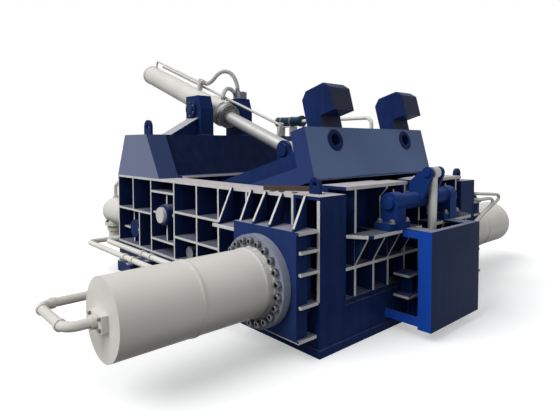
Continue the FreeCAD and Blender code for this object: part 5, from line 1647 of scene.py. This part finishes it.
@dataclass
class LidCylinder:
    """The long lid cylinder with its rod, gland, measuring rod, oil line and hoses.

    The ports' places are how far ahead of the trunnion and above the axis they stand. Their bosses
    and the wiper are given as disc takes them.
    """

    trunnion: Triple = (-1.29, 0.0, 2.06)
    pin: Triple = (0.17, 0.0, 1.53)
    gland_end: float = 0.285
    gland_screw: CapScrew = CapScrew(0.011, 0.014, 0.006, 0.004)
    gland_screws: int = 12
    gland_circle: float = 0.134
    weld_rings: tuple[float, ...] = (-2.03, -0.17, 0.17)
    weld_radius: float = 0.15
    bead: float = 0.006
    front_port: tuple[float, float] = (0.155, 0.146)
    front_boss: tuple[float, ...] = (0.0, 0.038, 0.0, 0.036, 0.03, 0.032)
    rear_port: tuple[float, float] = (-0.525, 0.275)
    rear_boss: tuple[float, ...] = (0.0, 0.036, 0.0, 0.03, 0.024, 0.03)
    wiper: tuple[float, ...] = (0.079, 0.1, 0.0, 0.018, 0.012, 0.092)
    hose_radius: float = 0.027
    hose_step: float = 0.011
    hose_swell: float = 0.09
    rear_hose: tuple[Triple, ...] = (
        (-1.626, 0.0, 2.475), (-1.585, 0.008, 2.463), (-1.54, 0.022, 2.47), (-1.486, 0.05, 2.51),
        (-1.447, 0.09, 2.575), (-1.401, 0.13, 2.617), (-1.355, 0.18, 2.628), (-1.305, 0.23, 2.6),
        (-1.268, 0.27, 2.53), (-1.25, 0.3, 2.43), (-1.25, 0.31, 2.345))
    front_hose: tuple[Triple, ...] = (
        (-1.17, 0.0, 2.19), (-1.18, 0.005, 2.235), (-1.195, 0.03, 2.3), (-1.222, 0.08, 2.35),
        (-1.235, 0.13, 2.372), (-1.232, 0.19, 2.36), (-1.228, 0.235, 2.32), (-1.225, 0.262, 2.288))
    crimp: tuple[Range, ...] = ((0.0, -0.02), (0.026, -0.02), (0.031, -0.014), (0.031, 0.045), (0.027, 0.05),
                                (0.027, 0.062), (0.0, 0.062))
    block_screw: CapScrew = CapScrew(0.01, 0.012, 0.005, 0.004)
    block_screws_x: Range = (0.035, 0.13)
    block_screws_y: Range = (0.018, 0.078)
    adapter: tuple[float, float] = (0.034, 0.03)
    adapter_sunk: float = 0.002

    def place(self, along: float, rise: float = 0.0) -> Vector:
        """A point by its place on the cylinder.

        Args:
            along: How far ahead of the trunnion it is.
            rise: How far above the axis.

        Returns:
            The point.
        """
        return Vector(self.trunnion) + self.thrust() * along + self.above() * rise

    def thrust(self) -> Vector:
        """The direction from the trunnion to the lid's pin."""
        return (Vector(self.pin) - Vector(self.trunnion)).normalized()

    def above(self) -> Vector:
        """The direction square to the axis and upwards."""
        thrust = self.thrust()
        return Vector((-thrust.z, 0, thrust.x))

    def dress(self) -> None:
        """Paint the barrel and plate the rods."""
        dress(GREY, "lid_cylinder", "lid_barrel_line")
        dress(GLAND, "lid_gland")
        dress(CHROME, "lid_rod", "lid_pin", "stroke_rod")
        dress(PRIMER, "hose_manifold")

    def hoses(self) -> None:
        """Two hoses in wound covers, curved from the cylinder to the frame, and their crimped ends."""
        for name, stops in (("rear_lid_hose", self.rear_hose), ("front_lid_hose", self.front_hose)):
            line = [Vector(stop) for stop in stops]
            cover = Shape()
            cover.sweep(line, self.hose_radius, self.hose_step, self.hose_swell)
            hose = finished(name, cover, HOSE)
            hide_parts("lid_hoses")
            for end, toward, body in ((line[0], line[1], "lid_thruster"), (line[-1], line[-2], "frame")):
                ferrule = Shape()
                ferrule.lathe(self.crimp, end, toward - end, ROUND)
                piece(f"{name}_{body}_end", ferrule, body, SCREW)
            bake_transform(hose)

    def fittings(self) -> None:
        """Hexagon under the rear hose's end and the screws in the valve block's top."""
        block = Extent("hose_manifold")
        fittings = Shape()
        radius, height = self.adapter
        x, y, _ = self.rear_hose[-1]
        foot = Vector((x, y, block.hi.z - self.adapter_sunk))
        fittings.lathe(disc(0.0, radius, 0.0, height), foot, Vector(UP), HEXAGON)
        for dx in self.block_screws_x:
            for dy in self.block_screws_y:
                fittings.copies(self.block_screw.mesh(),
                                [Matrix.Translation((block.lo.x + dx, block.lo.y + dy, block.hi.z))])
        piece("manifold_fittings", fittings, "frame", SCREW)

    def build(self) -> None:
        """Gland screws and wiper, weld rings, port bosses, hoses and fittings."""
        thrust = self.thrust()
        face = self.place(self.gland_end)
        screws, welds, ports, wiper = Shape(), Shape(), Shape(), Shape()
        screws.copies(self.gland_screw.mesh(),
                      pitch_circle(face, thrust, self.gland_circle, self.gland_screws))
        piece("lid_gland_screws", screws, "lid_thruster", SCREW)
        for along in self.weld_rings:
            welds.ring_bead(self.place(along), thrust, self.weld_radius, self.bead)
        piece("lid_cylinder_seams", welds, "lid_thruster", GREY)
        ports.lathe(disc(*self.front_boss), self.place(*self.front_port), self.above(), ROUND)
        ports.lathe(disc(*self.rear_boss), self.place(*self.rear_port), thrust, ROUND)
        piece("lid_cylinder_ports", ports, "lid_thruster", GREY)
        wiper.lathe(disc(*self.wiper), face, thrust, 48)
        piece("lid_rod_wiper", wiper, "lid_thruster", GLAND)
        self.hoses()
        self.fittings()


@dataclass
class TurnOutGear:
    """Shaft, levers, bearings, cradle and the small cylinder, whose gland is given as disc takes it."""

    bolt: HexBolt = HexBolt(0.05, 0.022, 0.005)
    foot_height: float = 0.06
    bolt_inset: tuple[float, float] = (0.03, 0.04)
    nipple: tuple[Range, ...] = ((0.0, -0.004), (0.009, -0.004), (0.009, 0.008), (0.005, 0.012),
                                 (0.006, 0.02), (0.003, 0.025), (0.0, 0.025))
    shaft: tuple[float, float] = (1.875, 1.105)
    sleeve_y: float = 0.368
    sleeve_radius: float = 0.071
    bead: float = 0.006
    lift_foot: Triple = (1.975, 0.0, 0.13)
    lift_eye: Triple = (1.992, 0.0, 1.345)
    gland: tuple[float, ...] = (0.0375, 0.058, 0.0, 0.02, 0.014, 0.05)
    gland_gap: float = 0.0005

    def dress(self) -> None:
        """Paint the shaft, levers and bearings."""
        dress(ROYAL, "near_bearing", "far_bearing", "turn_out_shaft", "lift_foot", "lift_barrel")
        dress(WEAR, "cradle")
        dress(CHROME, "lift_rod", "lift_pin")

    def build(self) -> None:
        """Bolts and grease nipples of the bearings, the sleeves' seams and the lift cylinder's gland."""
        bolt = self.bolt.mesh()
        bolts, nipples, seams, gland = Shape(), Shape(), Shape(), Shape()
        x, z = self.shaft
        dx, dy = self.bolt_inset
        for node, side in (("near_bearing", -1), ("far_bearing", 1)):
            box = Extent(node)
            for bolt_x in (box.lo.x + dx, box.hi.x - dx):
                for bolt_y in (box.lo.y + dy, box.hi.y - dy):
                    bolts.copies(bolt, [Matrix.Translation((bolt_x, bolt_y, box.lo.z + self.foot_height))])
            nipples.lathe(self.nipple, Vector((x, box.mid.y, box.hi.z)), Vector(UP), 12)
            seams.ring_bead(Vector((x, side * self.sleeve_y, z)), Vector((0, side, 0)), self.sleeve_radius,
                            self.bead)
        piece("bearing_foot_bolts", bolts, "frame", SCREW)
        piece("grease_nipples", nipples, "frame", SCREW)
        piece("shaft_sleeve_seams", seams, "ejector", BLUE_SEAM)
        foot = Vector(self.lift_foot)
        way = (Vector(self.lift_eye) - foot).normalized()
        run = Extent("lift_barrel").hi.z - foot.z + self.gland_gap
        gland.lathe(disc(*self.gland), foot + way * run, way, FINE_ROUND)
        piece("lift_gland", gland, "ejector_thruster", SCREW)


@dataclass
class Surroundings:
    """Guard box, supply pipes, filter and small fittings."""

    guard_half: float = 0.41
    guard_front: float = 2.221
    guard_top: float = 0.896
    # Painted shade on the guard's front, painted light on its near side.
    guard_front_painted_shade: FaceColour = ((0.012, 0.025, 0.07), 0.92)
    guard_side_painted_light: FaceColour = ((0.01, 0.068, 0.42), 0.9)
    rim_thick: float = 0.012
    rim_under: float = 0.0005
    rim_inset: float = 0.013
    rim_back: float = 1.956
    rim_front: Range = (0.062, 0.0125)
    rim_side: Range = (0.25, 0.0205)
    step_heights: tuple[Range, Range] = ((0.263, 0.288), (0.45, 0.476))
    step_x: Range = (1.7825, 1.94)
    step_y: Range = (0.115, 0.285)
    prop_x: float = 1.9
    prop_y: Range = (0.15, 0.172)
    seat_gap: float = 0.0003
    clamp_bolt: HexBolt = HexBolt(0.024, 0.011, 0.002)
    clamp_inset: float = 0.06
    clamp_y: Range = (-1.37, -1.58)
    clamp_half: float = 0.02
    clamp_ring: Range = (0.0315, 0.042)
    clamp_ear: Range = (0.036, 0.07)
    clamp_ear_top: float = 0.009
    clamp_bolt_out: float = 0.055
    supply_z: float = 0.35
    clamp_foot: float = 0.32
    pipe_radius: float = 0.019
    pipe_step: float = 0.02
    pipe_runs: tuple[tuple[float, float], ...] = ((0.0, 1.78), (0.062, 1.62))
    pipe_sag: float = 0.6
    filter_z: float = 1.93
    band_outer: float = 0.0745
    band_bore: float = 0.0702
    band_wide: float = 0.03
    bands: tuple[float, ...] = (0.1, 0.3)
    cover_outer: float = 0.077
    cover_gap: float = 0.001
    flange: tuple[float, float] = (0.052, 0.014)
    flange_place: Triple = (0.5, 1.1, 1.2065)

    def dress(self) -> None:
        """Paint the guard, with painted shade on its front and painted light on its near side, and the pipes
        and the filter.
        """
        painted_light_and_shade = ((through(FRONT, (self.guard_front, 0.0, 0.0)), *self.guard_front_painted_shade),
                 (through(NEAR, (0.0, -self.guard_half, 0.0)), *self.guard_side_painted_light))
        dress(with_faces(ROYAL, "guard", tinted=painted_light_and_shade), "guard_box")
        dress(CREAM, "supply_pipes")
        dress(NAVY, "pipe_block")
        dress(TEAL, "return_filter")
        dress(CREAM, "filter_bracket", "filter_pipe")

    def guard_rim(self) -> None:
        """Flat rim round the guard's open top."""
        rim = Shape()
        low, high = self.guard_top - self.rim_thick, self.guard_top - self.rim_under
        deep, close = self.rim_front
        inside = self.guard_half - self.rim_inset
        rim.bar((self.guard_front - deep, -inside, low), (self.guard_front - close, inside, high))
        for side in (-1, 1):
            y0, y1 = sorted((side * self.rim_side[0], side * (self.guard_half - self.rim_side[1])))
            rim.bar((self.rim_back, y0, low), (self.guard_front - deep - self.rim_under, y1, high))
        piece("guard_rim", rim, "frame", with_faces(ROYAL, "rim", bare=(Face(UP, high),),
                                                    bare_colour=(0.24, 0.25, 0.31)))

    def steps(self) -> None:
        """Step plates on their props, each side of the lift cylinder."""
        steps = Shape()
        back, front = self.step_x
        for side in (-1, 1):
            y0, y1 = sorted(side * y for y in self.step_y)
            for z0, z1 in self.step_heights:
                steps.bar((back, y0, z0), (front, y1, z1))
            y0, y1 = sorted(side * y for y in self.prop_y)
            steps.bar((back, y0, self.step_heights[0][1] + self.seat_gap),
                      (self.prop_x, y1, self.step_heights[1][0] - self.seat_gap))
        edges = (through(FRONT, (front, 0.0, 0.0)), through(NEAR, (0.0, -self.step_y[1], 0.0)))
        piece("front_steps", steps, "frame", with_faces(ROYAL, "steps", edges, dust=0.6))

    def clamps(self) -> None:
        """Clamps that hold the supply pipes on their bracket, with bolts."""
        block = Extent("pipe_block")
        holds, bolts = Shape(), Shape()
        bolt = self.clamp_bolt.mesh()
        half = self.clamp_half
        for x in (block.lo.x + self.clamp_inset, block.hi.x - self.clamp_inset):
            for y in self.clamp_y:
                old = set(holds.bm.verts)
                holds.lathe(disc(*self.clamp_ring, -half, half), Vector((x, y, self.supply_z)),
                            Vector(FRONT), 32)
                fresh = holds.newer_than(old)
                geom = list(fresh) + list({e for v in fresh for e in v.link_edges}) + list(
                    {f for v in fresh for f in v.link_faces})
                cut = bmesh.ops.bisect_plane(holds.bm, geom=geom, plane_co=(x, y, self.clamp_foot),
                                             plane_no=UP, clear_inner=True)
                rim = [item for item in cut["geom_cut"] if isinstance(item, bmesh.types.BMEdge)]
                bmesh.ops.holes_fill(holds.bm, edges=rim, sides=0)
                top = block.hi.z + self.clamp_ear_top
                for side in (-1, 1):
                    y0, y1 = sorted(y + side * out for out in self.clamp_ear)
                    holds.bar((x - half, y0, block.hi.z + self.seat_gap), (x + half, y1, top))
                    bolts.copies(bolt, [Matrix.Translation((x, y + side * self.clamp_bolt_out, top))])
        piece("pipe_clamps", holds, "frame", GREY)
        piece("pipe_clamp_bolts", bolts, "frame", SCREW)

    def far_pipes(self) -> None:
        """Two thin pipes that leave the far mount and run down before it to the front wall."""
        pipes = Shape()
        for shift, out in self.pipe_runs:
            sag = shift * self.pipe_sag
            stops = ((1.69, 1.285, 1.045 - shift), (1.76, 1.3, 1.045 - shift), (1.81, 1.36, 1.044 - shift),
                     (1.815, out - 0.09, 1.015 - sag), (1.815, out - 0.02, 1.0 - sag),
                     (1.815, out, 0.975 - sag), (1.815, out - 0.05, 0.935 - sag),
                     (1.815, 1.36 - shift, 0.81 - sag / 2), (1.815, 1.2 - shift, 0.72),
                     (1.808, 1.17 - shift, 0.7), (1.784, 1.155 - shift, 0.69))
            pipes.sweep([Vector(stop) for stop in stops], self.pipe_radius, self.pipe_step)
        piece("far_side_pipes", pipes, "frame", CREAM)

    def filter_fittings(self) -> None:
        """Bands and cover ring of the filter, and the flange at its pipe's foot."""
        bowl = Extent("return_filter")
        middle = Vector((bowl.lo.x, bowl.mid.y, self.filter_z))
        bands, flange = Shape(), Shape()
        for along in self.bands:
            bands.lathe(disc(self.band_bore, self.band_outer, 0.0, self.band_wide),
                        middle + Vector((along, 0, 0)), Vector(FRONT), FINE_ROUND)
        bands.lathe(disc(self.band_bore, self.cover_outer, self.cover_gap, self.band_wide), middle,
                    Vector(FRONT), FINE_ROUND)
        piece("filter_bands", bands, "frame", SCREW)
        radius, height = self.flange
        flange.lathe(disc(0.0, radius, 0.0, height), Vector(self.flange_place), Vector(UP), 32)
        piece("filter_pipe_flange", flange, "frame", CREAM)

    def build(self) -> None:
        """Rim of the guard, steps, clamps, thin pipes, and the filter's fittings."""
        self.guard_rim()
        self.steps()
        self.clamps()
        self.far_pipes()
        self.filter_fittings()


# ================================================================ stage, light and camera
@dataclass
class Studio:
    """Pale floor, soft light and the camera at the photograph's angle."""

    position: Triple = (4.1117, -3.7351, 1.6)
    heading_deg: float = 47.8312
    down_deg: float = 2.6747
    roll_deg: float = -0.1164
    focal_pixels: float = 465.967
    horizon_row: float = 165.537
    sensor: float = 36.0
    sky_colour: Colour = (0.93, 0.96, 1.0)
    sky_strength: float = 0.42
    floor_size: float = 400.0
    floor_z: float = -0.001
    floor_colour: Colour = (0.14, 0.14, 0.14)
    floor_seen: Colour = (0.8, 0.8, 0.79)
    floor_glow: float = 0.38
    lamps: tuple[tuple[str, Triple, float, float], ...] = (
        ("key", (0.2, 0.8, -0.85), 2.3, 40.0), ("fill", (-0.9, 0.1, -0.5), 0.35, 60.0))

    def camera(self) -> None:
        """Place the camera."""
        data = bpy.data.cameras.new("camera")
        data.sensor_width = self.sensor
        data.lens = self.focal_pixels * self.sensor / IMAGE_WIDTH
        data.shift_y = -(IMAGE_HEIGHT / 2 - self.horizon_row) / IMAGE_WIDTH
        heading = math.radians(self.heading_deg)
        down = math.radians(self.down_deg)
        ahead = Vector((-math.sin(heading) * math.cos(down), math.cos(heading) * math.cos(down),
                        -math.sin(down)))
        right = Vector((math.cos(heading), math.sin(heading), 0.0))
        up = right.cross(ahead)
        roll = math.radians(self.roll_deg)
        right, up = right * math.cos(roll) + up * math.sin(roll), up * math.cos(roll) - right * math.sin(roll)
        turn = Matrix((right, up, -ahead)).transposed()
        made = linked("camera", data)
        made.matrix_world = Matrix.Translation(self.position) @ turn.to_4x4()
        bpy.context.scene.camera = made

    def seen(self, tree: Tree) -> Socket:
        """Mask of rays that see the background: the camera's and those in gloss and glass.

        Args:
            tree: The tree of the world or of the floor.

        Returns:
            The mask's socket.
        """
        rays = tree.node("ShaderNodeLightPath").outputs
        gloss = tree.math("MAXIMUM", rays["Is Glossy Ray"], rays["Is Transmission Ray"])
        return tree.math("MAXIMUM", rays["Is Camera Ray"], gloss)

    def world(self) -> None:
        """White background, with soft even light of its own."""
        made = bpy.data.worlds.new("studio")
        made.use_nodes = True
        made.node_tree.nodes.clear()
        tree = Tree(made.node_tree)
        light = tree.node("ShaderNodeBackground")
        tree.feed_all(light, {"Color": self.sky_colour, "Strength": self.sky_strength})
        back = tree.node("ShaderNodeBackground")
        tree.feed_all(back, {"Color": (1.0, 1.0, 1.0), "Strength": 1.0})
        mixed = tree.node("ShaderNodeMixShader")
        tree.feed_all(mixed, {0: self.seen(tree), 1: light.outputs[0], 2: back.outputs[0]})
        tree.feed(tree.node("ShaderNodeOutputWorld").inputs["Surface"], mixed.outputs[0])
        bpy.context.scene.world = made

    def floor(self) -> None:
        """Pale floor that keeps the shadow."""
        shape = Shape()
        bmesh.ops.create_grid(shape.bm, x_segments=2, y_segments=2, size=self.floor_size / 2)
        made = linked("floor", shape.mesh("floor"))
        made.location.z = self.floor_z
        paint = bpy.data.materials.new("floor")
        paint.use_nodes = True
        paint.node_tree.nodes.clear()
        tree = Tree(paint.node_tree)
        diffuse = tree.node("ShaderNodeBsdfDiffuse")
        tree.feed(diffuse.inputs["Color"], tree.mix(self.seen(tree), self.floor_colour, self.floor_seen))
        glow = tree.node("ShaderNodeEmission")
        tree.feed(glow.inputs["Strength"], tree.times(self.seen(tree), self.floor_glow))
        both = tree.node("ShaderNodeAddShader")
        tree.feed_all(both, {0: diffuse.outputs[0], 1: glow.outputs[0]})
        tree.feed(tree.node("ShaderNodeOutputMaterial").inputs["Surface"], both.outputs[0])
        made.data.materials.append(paint)

    def lamp(self, name: str, towards: Triple, strength: float, spread_deg: float) -> None:
        """Soft lamp from far away.

        Args:
            name: The lamp's name.
            towards: Which way its light goes.
            strength: Its strength.
            spread_deg: How wide its source looks.
        """
        data = bpy.data.lights.new(name, "SUN")
        data.energy = strength
        data.angle = math.radians(spread_deg)
        made = linked(name, data)
        made.rotation_mode = "QUATERNION"
        made.rotation_quaternion = Vector(towards).to_track_quat("-Z", "Y")

    def build(self) -> None:
        """Make the whole studio."""
        self.camera()
        self.world()
        self.floor()
        for lamp in self.lamps:
            self.lamp(*lamp)
        bpy.context.scene.view_settings.view_transform = "Standard"


def main() -> None:
    """Build the looks in order and report each piece."""
    logging.basicConfig(level=logging.INFO, format="%(name)s %(message)s")
    Studio().build()
    for part in (PressFrame(), PressCylinders(), MainCylinders(), Lid(), Portal(), LidCylinder(),
                 TurnOutGear(), Surroundings()):
        part.dress()
        part.build()
        LOG.info("%s is done", type(part).__name__)


if __name__ == "__main__":
    main()
